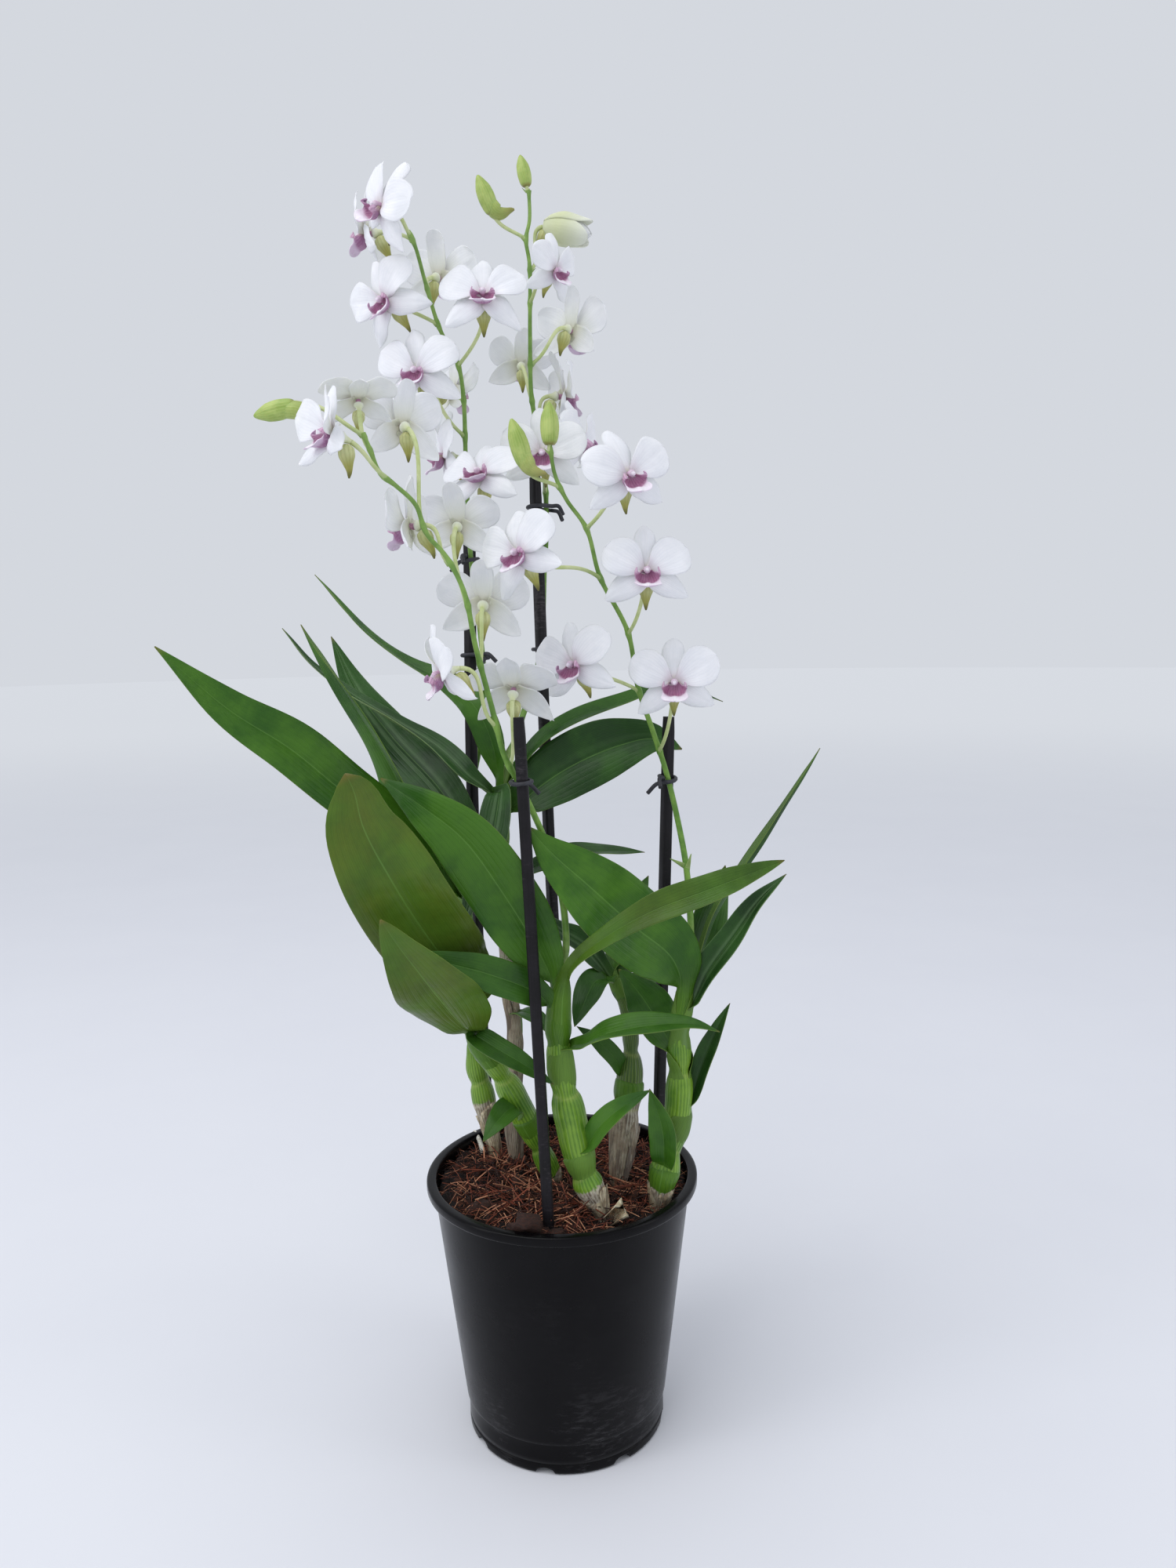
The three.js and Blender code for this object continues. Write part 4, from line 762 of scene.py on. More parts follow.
# %% Canes and leaves
Leaf = namedtuple("Leaf", "midrib width face fold shape twist", defaults=("strap", 0))
CANES = {
    "cane_1": {
        "path": [[20, -38, 130], [12, -38, 150], [6, -38, 178], [1, -38, 210], [1, -38, 233],
                 [3, -38, 252]],
        "girth": [[0, 6.5], [0.12, 7.4], [0.24, 7.2], [0.3, 6.6], [0.42, 8], [0.54, 7.4], [0.6, 6.4],
                  [0.76, 5.8], [0.9, 4.8], [1, 3.4]],
        "leaves": [
            Leaf([[2, -39, 238], [-7, -41, 262], [-24, -43, 293], [-41, -47, 319], [-59, -46, 334],
                  [-79, -40, 347]], 34, [-0.1, -1, 0.15], 8),
            Leaf([[1, -38, 230], [-9, -44, 244], [-30, -49, 255], [-50, -52, 262], [-67, -54, 268]], 18,
                  [0.1, -0.9, 0.4], 10),
            Leaf([[3, -39, 240], [8, -50, 259], [23, -61, 275], [44, -66, 288], [69, -65, 297],
                  [87, -62, 303], [105, -58, 309]], 22, [-0.3, -0.8, 0.5], 14, "late"),
            Leaf([[1, -38, 210], [10, -42, 216], [22, -50, 225], [42, -58, 232], [62, -62, 234],
                  [75, -64, 231]], 16, [0, -0.45, 0.9], 20),
            Leaf([[9, -38, 160], [14, -43, 168], [20, -49, 180], [31, -52, 191], [44, -50, 198]], 13,
                  [-0.3, -0.7, 0.6], 16),
        ],
    },
    "cane_2": {
        "path": [[49, -26, 130], [52, -26, 147], [58, -24, 171], [60, -22, 194], [60, -22, 219],
                 [62, -22, 231], [64, -22, 248]],
        "girth": [[0, 7], [0.12, 7.6], [0.25, 7], [0.32, 5.9], [0.45, 6.8], [0.56, 6.4], [0.64, 5.2],
                  [0.76, 5], [0.9, 3.8], [1, 3]],
        "leaves": [
            Leaf([[63, -23, 232], [56, -32, 256], [37, -40, 275], [16, -45, 296], [-1, -45.5, 312],
                  [-11, -45, 324]], 38, [0.15, -0.95, 0.25], 6),
            Leaf([[64, -22, 238], [76, -8, 270], [93, 0, 296], [115, 6, 325], [134, 10, 352]], 12,
                  [0.7, -0.4, -0.5], 28),
            Leaf([[64, -22, 234], [72, -6, 256], [79, 2, 274], [86, 8, 293]], 22, [0.3, -0.9, 0.1], 12),
            Leaf([[62, -22, 222], [67, -24, 232], [74, -29, 249], [87, -31, 268], [98, -31, 284],
                  [111, -28, 296]], 17, [-0.6, -0.7, 0.3], 30),
            Leaf([[59, -23, 172], [65, -22, 180], [70, -20, 194], [78, -16, 212], [86, -12, 227]], 12,
                  [-0.5, -0.8, 0.2], 26),
            Leaf([[60, -23, 202], [52, -10, 213], [43, 0, 226], [31, 6, 240]], 26, [0.35, -0.8, 0.5], 10),
            Leaf([[51, -27, 146], [51, -36, 158], [50, -39, 174], [44, -39, 194]], 15, [-0.3, -0.9, 0.3],
                  18),
        ],
    },
    "cane_3": {
        "path": [[-5, -4, 131], [-10, -8, 148], [-19, -12, 171], [-29, -16, 193], [-39, -20, 211],
                 [-43, -22, 224]],
        "girth": [[0, 5.2], [0.12, 5.8], [0.26, 5.4], [0.34, 5], [0.5, 6.4], [0.64, 5.8], [0.72, 4.8],
                  [0.88, 4.2], [1, 3]],
        "leaves": [
            Leaf([[-42, -22, 218], [-43, -26, 241], [-51, -38, 257], [-62, -53, 281], [-71, -63, 302],
                  [-82, -70, 329], [-85, -73, 346], [-88, -75, 354]], 46, [-0.1, -0.9, 0.4], 7, "blunt"),
            Leaf([[-39, -22, 215], [-44, -36, 225], [-51, -53, 242], [-59, -67, 260], [-68, -77, 278],
                  [-74, -83, 291]], 36, [-0.25, -0.85, 0.35], 6, "broad"),
            Leaf([[-39, -21, 212], [-40, -31, 219], [-28, -40, 215], [-15, -43, 208], [-2, -44, 199]], 13,
                  [0.3, -0.8, 0.6], 14),
            Leaf([[-17, -11, 168], [-23, -21, 178], [-30, -32, 176], [-37, -38, 168]], 14,
                  [-0.1, -0.8, 0.7], 12),
        ],
    },
    "cane_4": {
        "path": [[-37, 30, 130], [-41, 29, 151], [-43, 29, 165], [-47, 30, 187], [-48, 30, 210],
                 [-49, 31, 236], [-49, 32, 276]],
        "girth": [[0, 4.4], [0.1, 5.2], [0.2, 4.6], [0.3, 6.6], [0.4, 6.2], [0.47, 4], [0.62, 3.8],
                  [0.8, 3.4], [1, 2.8]],
        "leaves": [
            Leaf([[-49, 30, 262], [-75, 4, 309], [-105, -12, 339], [-125, -20, 359], [-152, -26, 379],
                  [-183, -30, 409]], 33, [0.35, -0.75, 0.6], 9),
            Leaf([[-49, 30, 265], [-68, 14, 311], [-81, 4, 346], [-100, 0, 382], [-112, -2, 403],
                  [-121, -4, 418]], 34, [-0.3, -0.9, 0.2], 18, "slim", -60),
        ],
    },
    "cane_5": {
        "path": [[-25, 20, 130], [-26, 20, 148], [-26, 22, 165], [-24, 24, 190], [-25, 26, 212],
                 [-28, 28, 228], [-28, 29, 249], [-29, 29, 292], [-28, 28, 330], [-26, 30, 343]],
        "girth": [[0, 4.2], [0.1, 4.4], [0.2, 3.7], [0.32, 4], [0.42, 3.4], [0.6, 3.6], [0.8, 3.3],
                  [1, 2.8]],
        "leaves": [
            Leaf([[-29, 28, 288], [-44, 28, 306], [-63, 41, 331], [-90, 63, 356], [-111, 75, 382],
                  [-125, 82, 411]], 26, [0.2, -1, 0.1], 10),
            Leaf([[-28, 28, 318], [-46, 25, 338], [-62, 35, 352], [-83, 47, 364], [-114, 59, 382],
                  [-134, 67, 397], [-150, 74, 416]], 17, [0.35, -0.55, 0.8], 26, "slim", 20),
            Leaf([[-28, 28, 322], [-32, 27, 354], [-41, 30, 374], [-57, 42, 386], [-79, 54, 397],
                  [-106, 68, 417], [-132, 80, 445]], 17, [-0.6, -0.75, 0.3], 16, "slim", 110),
            Leaf([[-28, 28, 325], [-18, 32, 344], [-6, 36, 357], [10, 44, 366], [35, 57, 373],
                  [65, 66, 381], [92, 70, 372]], 13, [0, -0.45, 0.9], 18),
            Leaf([[-28, 28, 315], [-8, 31, 332], [11, 36, 343], [34, 38, 352], [52, 40, 355],
                  [67, 42, 349]], 36, [0.1, -0.9, 0.4], 12),
            Leaf([[-28, 28, 320], [-28, 17, 331], [-31, 6, 314], [-37, 0, 294], [-43, -4, 279],
                  [-47, -6, 266]], 19, [-0.3, -0.9, 0.3], 12),
            Leaf([[-29, 29, 278], [-14, 34, 287], [-4, 37, 290], [10, 47, 292], [27, 60, 291],
                  [48, 70, 288]], 17, [0, -0.4, 0.9], 16),
            Leaf([[-26, 27, 208], [-19, 14, 215], [-9, 4, 213], [-1, -4, 205]], 10, [0.2, -0.6, 0.8], 14),
        ],
    },
    "cane_6": {
        "path": [[29, -6, 130], [32, 0, 152], [35, 6, 171], [37, 10, 195], [35, 14, 215], [27, 18, 235]],
        "girth": [[0, 6.6], [0.14, 7.2], [0.3, 6.4], [0.4, 5.4], [0.55, 5.8], [0.68, 4.4], [0.84, 3.6],
                  [1, 2.6]],
        "leaves": [
            Leaf([[28, 17, 230], [13, 14, 250], [1, 8, 260], [-8, 2, 271]], 16, [0.4, -0.7, 0.6], 20),
            Leaf([[29, 17, 231], [19, 4, 234], [13, -6, 226], [8, -12, 216]], 17, [-0.3, -0.7, 0.6], 14),
            Leaf([[29, 17, 229], [38, 26, 239], [47, 30, 232], [57, 32, 220]], 15, [0.2, -0.6, 0.8], 12),
            Leaf([[28, 18, 232], [34, 34, 251], [42, 44, 266], [49, 50, 279]], 18, [0, -0.7, 0.7], 14),
            Leaf([[35, 9, 178], [28, 2, 194], [19, -2, 205], [9, -3, 213]], 11, [0.3, -0.8, 0.5], 12),
        ],
    },
}

# %% Sprays and blooms
BLOOM_SPAN = 46
Bloom = namedtuple("Bloom", "at stalk facing roll span", defaults=(0, BLOOM_SPAN))
SPRAYS = {
    "spray_a": {
        "cane": "cane_4",
        "path": [[-50, 41, 296], [-47, 49, 325], [-41, 49, 352], [-37, 43, 382], [-38, 38, 413],
                 [-41, 33, 447], [-42, 30, 490], [-42, 26, 531], [-44, 24, 544], [-52, 22, 560],
                 [-58, 20, 581], [-62, 18, 597], [-65, 16, 604]],
        "blooms": {
            "bloom_a1": Bloom([-75, 1, 610], 602, [-0.75, -0.6, 0.1], -35),
            "bloom_a2": Bloom([-88, 36, 609], 600, [-0.9, 0.1, -0.1]),
            "bloom_a3": Bloom([-77, 12, 571], 562, [-0.55, -0.8, -0.05], 25),
            "bloom_a4": Bloom([-54, 46, 590], 578, [0.4, 0.85, 0.1]),
            "bloom_a5": Bloom([-29, 2, 570], 543, [0.05, -0.9, 0.35]),
            "bloom_a6": Bloom([-62, 8, 537], 510, [-0.35, -0.9, 0.15], 5),
            "bloom_a7": Bloom([-49, 48, 535], 527, [0.75, 0.6, -0.25], 0, 42),
            "bloom_a8": Bloom([-53, 34, 501], 486, [-0.9, -0.25, 0]),
            "bloom_a9": Bloom([-33, 4, 488], 466, [-0.3, -0.8, 0.5], 8),
        },
        "buds": [],
    },
    "spray_b": {
        "cane": "cane_5",
        "path": [[-21, 38, 356], [-17, 46, 369], [-11, 54, 384], [-8, 55, 401], [-6, 54, 417],
                 [-4.5, 53, 443], [-3, 52, 463], [-3, 50, 490], [-6, 48, 512], [-9, 48, 533], [-9, 48, 563],
                 [-8.5, 48, 597], [-10, 48, 609], [-8, 48, 618], [-8, 48, 632]],
        "blooms": {
            "bloom_b1": Bloom([5, 51, 615], 594, [0.95, -0.1, -0.2], 0, 37),
            "bloom_b2": Bloom([5, 28, 588], 578, [0.7, -0.65, -0.1], 0, 36),
            "bloom_b3": Bloom([12, 66, 568], 548, [0.5, 0.8, -0.1]),
            "bloom_b4": Bloom([-16, 75.7, 553], 530, [-0.25, 0.9, 0.2], 0, 40),
            "bloom_b5": Bloom([7, 60, 534], 520, [0.93, 0.25, -0.05]),
            "bloom_b6": Bloom([16, 44, 508], 500, [0.9, -0.3, 0], 8),
            "bloom_b7": Bloom([-3, 22, 500], 484, [-0.1, -0.97, 0]),
        },
        "buds": [
            {"from": 632, "base": [-9, 48, 634], "tip": [-12, 48, 648.9]},
            {"from": 609, "base": [-26, 44, 620], "tip": [-33, 40, 637], "spur": [-17, 45, 622]},
        ],
    },
    "spray_c": {
        "cane": "cane_1",
        "path": [[5, -38, 263], [4, -37, 286], [-2, -37, 311], [-9, -40, 330], [-15, -43, 344],
                 [-21, -46, 357], [-26, -50, 380], [-32, -54, 407], [-36, -58, 431], [-43, -60, 446],
                 [-51, -62, 456], [-55, -64, 468], [-63, -66, 476], [-69, -68, 481], [-72, -70, 489],
                 [-75, -71, 497]],
        "blooms": {
            "bloom_c1": Bloom([-84.8, -84.3, 494.6], 479, [-0.8, -0.52, 0.24], 4),
            "bloom_c2": Bloom([-79, -57, 513], 490, [-0.15, 0.5, 0.8], 0, 36),
            "bloom_c3": Bloom([-64, -36, 505], 459, [-0.5, 0.75, 0.2], 0, 44),
            "bloom_c4": Bloom([-60, -50, 460], 443, [-0.9, 0.25, -0.1]),
            "bloom_c5": Bloom([-41, -24, 462], 425, [0.1, 0.97, 0.2], 0, 42),
            "bloom_c6": Bloom([-30, -30, 426], 399, [0, 0.98, 0.2]),
            "bloom_c7": Bloom([-46, -64, 396], 371, [-0.9, -0.25, -0.3]),
            "bloom_c8": Bloom([-17, -32, 387], 352, [0.05, 0.75, 0.65]),
        },
        "buds": [
            {"from": 496, "base": [-103, -68, 509], "tip": [-121, -68, 505], "spur": [-94, -69, 500]},
        ],
    },
    "spray_d": {
        "cane": "cane_2",
        "path": [[66, -18, 261], [65, -8, 294], [61, 2, 320], [56, 5, 342], [50, 2, 361], [42, -4, 385],
                 [37, -12, 412], [24, -18, 438], [18, -22, 460], [9, -25, 473], [4, -27, 484],
                 [2, -28, 497]],
        "blooms": {
            "bloom_d1": Bloom([37, -44, 481], 460, [0.4, -0.9, 0.1], 10),
            "bloom_d2": Bloom([45, -37, 439], 411, [0.02, -0.97, 0.2]),
            "bloom_d3": Bloom([58, -26, 388], 353, [-0.05, -0.98, 0.1]),
            "bloom_d4": Bloom([11, -26, 397], 383, [-0.5, -0.8, 0.1], 15),
            "bloom_d5": Bloom([-12, -55, 447], 437, [-0.5, -0.8, 0.15], 20),
        },
        "buds": [
            {"from": 494, "base": [2, -28, 497], "tip": [2, -28, 516]},
            {"from": 478, "base": [-9, -31, 487], "tip": [-15, -33, 508], "spur": [-1, -32, 484]},
        ],
        "bracts": [(296, [-0.85, -0.3, 0.5]), (294, [0.22, -0.3, 1])],
    },
}
print("leaves", sum(len(plan["leaves"]) for plan in CANES.values()),
      "blooms", sum(len(plan["blooms"]) for plan in SPRAYS.values()))

# %% [markdown]
# ## Stems, stakes and ties
#
# Flower stems, pedicels, stakes and wire all follow a path with one cross-section, so one tree of
# geometry nodes makes them. Its input is a mesh of bare edges. Each point has a mark for its girth,
# which scales the profile, and where a point is marked as a scale leaf, or bract, the tree also
# plants a small pointed cone. The profile is a circle, or a square with rounded corners.


# %% Strands
class Strands:
    """Lines of points with a girth in millimetres and a paleness, as a mesh of bare edges."""

    def __init__(self):
        self.points, self.edges, self.girth, self.pale, self.bract, self.way = [], [], [], [], [], []

    def add(self, line, girth, pale=0.0):
        first, size = len(self.points), len(line)
        self.points += np.asarray(line).tolist()
        self.edges += [(first + i, first + i + 1) for i in range(size - 1)]
        self.girth += np.broadcast_to(girth, size).tolist()
        self.pale += np.broadcast_to(pale, size).tolist()
        self.bract += [0.0] * size
        self.way += [(0.0, 0.0, 1.0)] * size

    def add_bract(self, point, way, size):
        self.points.append(list(point))
        self.girth.append(size)
        self.pale.append(0.3)
        self.bract.append(1.0)
        self.way.append(tuple(way))

    def mesh(self, name):
        made = bpy.data.meshes.new(name)
        made.from_pydata((np.array(self.points) * MM).tolist(), self.edges, [])
        marks = {"girth": np.array(self.girth) * MM, "pale": self.pale, "bract": self.bract}
        for label, values in marks.items():
            made.attributes.new(label, "FLOAT", "POINT").data.foreach_set("value", values)
        ways = made.attributes.new("way", "FLOAT_VECTOR", "POINT")
        ways.data.foreach_set("vector", np.array(self.way, float).ravel())
        return made


STEMS, inner, out = new_group("GeometryNodeTree", "stems", [
    ("Lines", "Geometry", None), ("Sides", "Int", 12), ("Square", "Bool", False),
    ("Corner", "Float", 0.25), ("Finish", "Material", None)], [("Stems", "Geometry")])
girth = read_mark(STEMS, "girth")
curve = out_of(STEMS, "GeometryNodeMeshToCurve", {"Mesh": inner["Lines"]})
circle = out_of(STEMS, "GeometryNodeCurvePrimitiveCircle", {"Resolution": inner["Sides"], "Radius": 1.0})
square = out_of(STEMS, "GeometryNodeCurvePrimitiveQuadrilateral", {"Width": 2.0, "Height": 2.0})
rounded = out_of(STEMS, "GeometryNodeFilletCurve", {
    "Curve": square, "Radius": inner["Corner"], "Count": 4}, mode="POLY")
section = out_of(STEMS, "GeometryNodeSwitch", {
    "Switch": inner["Square"], "False": circle, "True": rounded}, input_type="GEOMETRY")
stems = out_of(STEMS, "GeometryNodeCurveToMesh", {
    "Curve": curve, "Profile Curve": section, "Scale": girth, "Fill Caps": True})
soft = out_of(STEMS, "GeometryNodeSetShadeSmooth", {"Geometry": stems})
chosen = out_of(STEMS, "FunctionNodeCompare", {0: read_mark(STEMS, "bract"), 1: 0.5},
                operation="GREATER_THAN")
aimed = out_of(STEMS, "FunctionNodeAlignRotationToVector", {
    "Vector": read_mark(STEMS, "way", "FLOAT_VECTOR")}, axis="Z")
spike = out_of(STEMS, "GeometryNodeMeshCone", {
    "Vertices": 8, "Side Segments": 3, "Radius Top": 0.05, "Radius Bottom": 0.36, "Depth": 2.2})
scale_leaf = out_of(STEMS, "GeometryNodeTransform", {"Geometry": spike, "Scale": (1.0, 0.45, 1.0)})
feet = out_of(STEMS, "GeometryNodeMeshToPoints", {"Mesh": inner["Lines"], "Selection": chosen})
bracts = out_of(STEMS, "GeometryNodeInstanceOnPoints", {
    "Points": feet, "Instance": scale_leaf, "Rotation": aimed, "Scale": girth})
whole = joined(STEMS, [soft, out_of(STEMS, "GeometryNodeRealizeInstances", {0: bracts})])
STEMS.links.new(dressed(STEMS, whole, inner["Finish"]), out["Stems"])

# %% [markdown]
# The stakes are ribbed plastic rods, a little bent from being pushed in, with a dull almost black
# surface. Their ties are coated wire: a loop round stake and stem, twisted once, with two tails.

# %% Stake and tie finishes
stake_finish, tree, shader = new_finish("stake_plastic_dull", Specular_IOR_Level=0.25)
place = place_of(tree)
base = mottled(tree, place, (24, 21, 26), (14, 12, 15), 80.0)
dust = use(tree, SCUFFS, Place=place, Scale=260.0, Amount=0.22)["Mask"]
ribs = noise(tree, place_of(tree, (1600, 1600, 12)), 1.0, 2.0)
feed(tree, shader, Base_Color=mix(tree, dust, base["Color"], tone(110, 102, 108)),
     Roughness=between(tree, ribs, 0.3, 0.7, 0.42, 0.62), Normal=bump(tree, ribs, 0.35, 0.0004))

tie_finish, tree, shader = new_finish("tie_wire_coating")
place = place_of(tree)
base = mottled(tree, place, (54, 54, 62), (36, 36, 42), 300.0)
feed(tree, shader, Base_Color=base["Color"], Roughness=between(tree, base["Mask"], 0, 1, 0.5, 0.7),
     Normal=bump(tree, noise(tree, place, 1800.0, 2.0), 0.3, 0.0002))

# %% Stakes
STAKE_SIDE, STAKE_ROWS = 5.2, 40
blunt_ends = np.concatenate([[0.92], np.ones(STAKE_ROWS - 2), [0.9]])
for name, points in STAKES.items():
    strands = Strands()
    strands.add(even_line(points, STAKE_ROWS), STAKE_SIDE / 2 * blunt_ends)
    made = grown(name + "_rod", strands.mesh(name), STEMS,
                 {"Square": True, "Corner": 0.42, "Finish": stake_finish})
    settle(made, name)

# %% Lines of canes and flower stems
CANE_FOOT = 113
STEM_FOOT, STEM_TIP = 1.9, 1.1  # the flower stem's radius at both ends
SEAT_GAP = 0.3


def cane_line(plan):
    """A cane's path, with its foot straight down in the mix."""
    x, y = plan["path"][0][:2]
    return smooth_line([[x, y, CANE_FOOT], *plan["path"]])


def spray_points(plan):
    """A flower stem's points, which start on the top of its cane."""
    below = cane_line(CANES[plan["cane"]])
    rise = unit(below[-1] - below[-2])
    start = below[-1] + rise * SEAT_GAP
    return np.array([start, start + rise * 5, *plan["path"]])


def at_height(points, height):
    """Where a line first passes a height."""
    above = int(np.argmax(points[:, 2] >= height))
    low, high = points[above - 1], points[above]
    return low + (high - low) * (height - low[2]) / (high[2] - low[2])


# %% Ties
WIRE = 1.05


def tie_line(post, bound):
    """A loop round a stake and the stem beside it, with two crossed tails."""
    def ring(centre, radius, bearing):
        return centre + radius * np.array([math.cos(bearing), math.sin(bearing), 0])
    to_stem = math.atan2(bound[1] - post[1], bound[0] - post[0])
    bound = np.array([bound[0], bound[1], post[2]])
    turn = math.pi / 3
    loop = [ring(bound, STEM_FOOT + WIRE + 0.2, to_stem + i * turn) for i in (-1, 0, 1)]
    loop += [ring(post, STAKE_SIDE * 0.62 + WIRE, to_stem + i * turn) for i in (2, 3, 4)]
    loop.append(loop[0].copy())
    for i, point in enumerate(loop):
        point[2] += WIRE * (2.2 * i / 6 - 1.1)
    out = np.array([math.cos(to_stem - turn), math.sin(to_stem - turn), 0])
    aside = np.array([-out[1], out[0], 0])
    first = [loop[0] + out * 6 - aside * 5 - [0, 0, 5.5], loop[0] + out * 3.2 - aside * 1.2 - [0, 0, 0.8]]
    last = [loop[-1] + out * 3 + aside * 1.4, loop[-1] + out * 5 + aside * 5 - [0, 0, 4]]
    return smooth_line([*first, *loop, *last], 10)


for name, plan in TIES.items():
    post = at_height(smooth_line(STAKES[plan["stake"]]), plan["height"])
    bound = at_height(smooth_line(spray_points(SPRAYS[plan["stem"]])), plan["height"])
    strands = Strands()
    strands.add(tie_line(post, bound), WIRE)
    made = grown(name + "_wire", strands.mesh(name), STEMS, {"Sides": 8, "Finish": tie_finish})
    settle(made, name)

# %% [markdown]
# ## Canes
#
# A dendrobium stores water in its canes. Each is a row of swollen joints, every one wrapped in the
# sheath of a leaf. The sheath hugs the cane with fine lengthwise veins and ends in a slanting hem,
# where the next joint comes out. Low on an old cane it dries to pale paper. A tube with a girth
# table gives the swelling, a list of joints draws it in at each one, and each sheath adds a third
# of a millimetre below its hem. Marks carry hem, dryness and darkness to the finish.

# %% Cane look
# For each cane: how dry, dark and full it is at heights above the bench, how grey it dries, and
# where its joints are along it.
CANE_SKIN, LEAF_SKIN, PAPER_SKIN = 0, 1, 2  # the order of the finishes on a cane's mesh
CANE_LOOK = {
    "cane_1": {"dry": [[129, 1], [141, 0.95], [148, 0.1], [156, 0]], "dark": [[130, 0.05], [250, 0.1]],
               "full": [[129, 0.4], [138, 0.72], [147, 1], [160, 1]], "grey": 0.1,
               "joints": [0.28, 0.58, 0.76]},
    "cane_2": {"dry": [[129, 0.9], [136, 0.7], [144, 0], [150, 0]], "dark": [[130, 0], [250, 0.15]],
               "full": [[129, 0.6], [138, 0.85], [146, 1], [160, 1]], "grey": 0.2,
               "joints": [0.32, 0.62, 0.76]},
    "cane_3": {"dry": [[129, 0.6], [134, 0.2], [142, 0], [150, 0]], "dark": [[130, 0.05], [230, 0.1]],
               "full": [[129, 0.8], [138, 0.95], [150, 1], [190, 1.12], [215, 1.2]], "grey": 0.3,
               "joints": [0.33, 0.7]},
    "cane_4": {"dry": [[129, 1], [157, 0.95], [163, 0.2], [168, 0]], "dark": [[130, 0.1], [280, 0.3]],
               "full": [[129, 0.6], [145, 0.85], [160, 0.92], [175, 0.9]], "grey": 0.0,
               "joints": [0.36, 0.5, 0.7]},
    "cane_5": {"dry": [[129, 1], [180, 0.9], [240, 0.6], [275, 0]], "dark": [[130, 0.4], [340, 0.6]],
               "full": [[129, 0.75], [150, 1.1], [170, 1.1], [180, 1]], "grey": 0.9,
               "joints": [0.2, 0.32, 0.48, 0.62, 0.8]},
    "cane_6": {"dry": [[129, 1], [160, 0.85], [176, 0.4], [192, 0]],
               "dark": [[130, 0.7], [170, 0.9], [235, 0.8]],
               "full": [[129, 0.5], [145, 0.9], [162, 1.25], [178, 1.2], [195, 1]], "grey": 0.6,
               "joints": [0.42, 0.66]},
}


def cane_girth(name, plan, line):
    """The girth at each point of a cane's line: thin at its foot and joints, full between them."""
    stops = np.linspace(0, 1, len(line))
    radii = eased(plan["girth"], stops) * eased(CANE_LOOK[name]["full"], line[:, 2])
    for joint in CANE_LOOK[name]["joints"]:
        off = np.abs(stops - joint) * lengths_of(line)[-1]
        radii = radii + 0.4 * np.exp(-((off - 9) / 5) ** 2) - 0.75 * np.exp(-(off / 2.6) ** 2)
    return radii


def cane_body(skin, name, plan, rows=150, sides=28):
    line = points_at(cane_line(plan), np.linspace(0, 1, rows))
    length = lengths_of(line)[-1]
    stops = np.linspace(0, 1, rows)[:, None]
    turns = full_circle(sides)[None]
    height = np.repeat(line[:, 2:], sides, 1)
    look = CANE_LOOK[name]
    radii = np.repeat(cane_girth(name, plan, line)[:, None], sides, 1) - 0.15
    hem_mark = np.zeros_like(radii)
    for i, stop in enumerate(look["joints"]):
        slant = stop * length + 1.6 * np.cos(turns - 2.2 * i)
        off = slant - stops * length
        step = 1 / (1 + np.exp(-np.clip(off / 0.5, -30, 30)))
        radii += 0.28 * step * np.exp(-np.clip(off, 0, None) / 14) - 0.2 * np.exp(-((off + 2.4) / 2.6) ** 2)
        hem_mark = np.maximum(hem_mark, np.exp(-(off / 0.7) ** 2))
    swell = np.sin(turns * 3 + stops * 9) * 0.12
    skin.tube(line, radii + swell, sides, CANE_SKIN, dry=eased(look["dry"], height),
              dark=eased(look["dark"], height), hem=hem_mark, tint=look["grey"])


# %% Cane finish
cane_finish, tree, shader = new_finish("cane_green", IOR=1.45, Specular_IOR_Level=0.45)
place = place_of(tree)
veins = veined(tree, 26.0, 0.03, 1.6)
threads = veined(tree, 24.0, 0.02, 5.0)
blotch = noise(tree, place, 240.0, 5.0, 0.7)
lines = times(tree, threads["Mask"], between(tree, blotch, 0.3, 0.6, 0.3, 0.65))
green = coats(tree, mottled(tree, place, (118, 160, 44), (74, 122, 28), 70.0)["Color"],
              (mark(tree, "dark"), 1, (62, 78, 44)),
              (veins["Mask"], 0.25, (150, 184, 76)),
              (lines, 1, (58, 98, 24)))
streaks = noise(tree, place_of(tree, (1, 1, 0.14)), 330.0, 4.0, 0.7)
paper = coats(tree, tone(214, 206, 182),
              (mark(tree, "tint"), 1, (108, 98, 92)),
              (between(tree, streaks, 0.46, 0.6, 0.0, 0.75), 1, (70, 54, 46)),
              (between(tree, blotch, 0.42, 0.66, 0.0, 0.75), 1, (92, 72, 54)),
              (veins["Mask"], 0.55, (206, 200, 186)))
drying = maths(tree, "ADD", mark(tree, "dry"), between(tree, blotch, 0.3, 0.7, -0.25, 0.25))
dried = between(tree, drying, 0.35, 0.6)
colour = coats(tree, green, (dried, 1, paper), (mark(tree, "hem"), 0.3, (176, 186, 104)))
relief = maths(tree, "ADD", veins["Mask"], times(tree, blotch, dried))
feed(tree, shader, Base_Color=colour, Roughness=between(tree, dried, 0, 1, 0.3, 0.8),
     Normal=bump(tree, relief, 0.35, 0.0004))

# %% [markdown]
# ## Leaves
#
# A dendrobium leaf is a leathery strap, folded along its midrib, that clasps the cane at its foot,
# widens to the middle and ends in a blunt point. Fine parallel veins run its whole length, the
# midrib is a pale groove above and a keel below, and the edge waves gently. The leaf is a sheet on
# its midrib's curve. Its fold is rounded near the midrib, so it looks grown and not creased. Some
# leaves are broad, some slim or twisted, and one opens late, so each names its own outline.

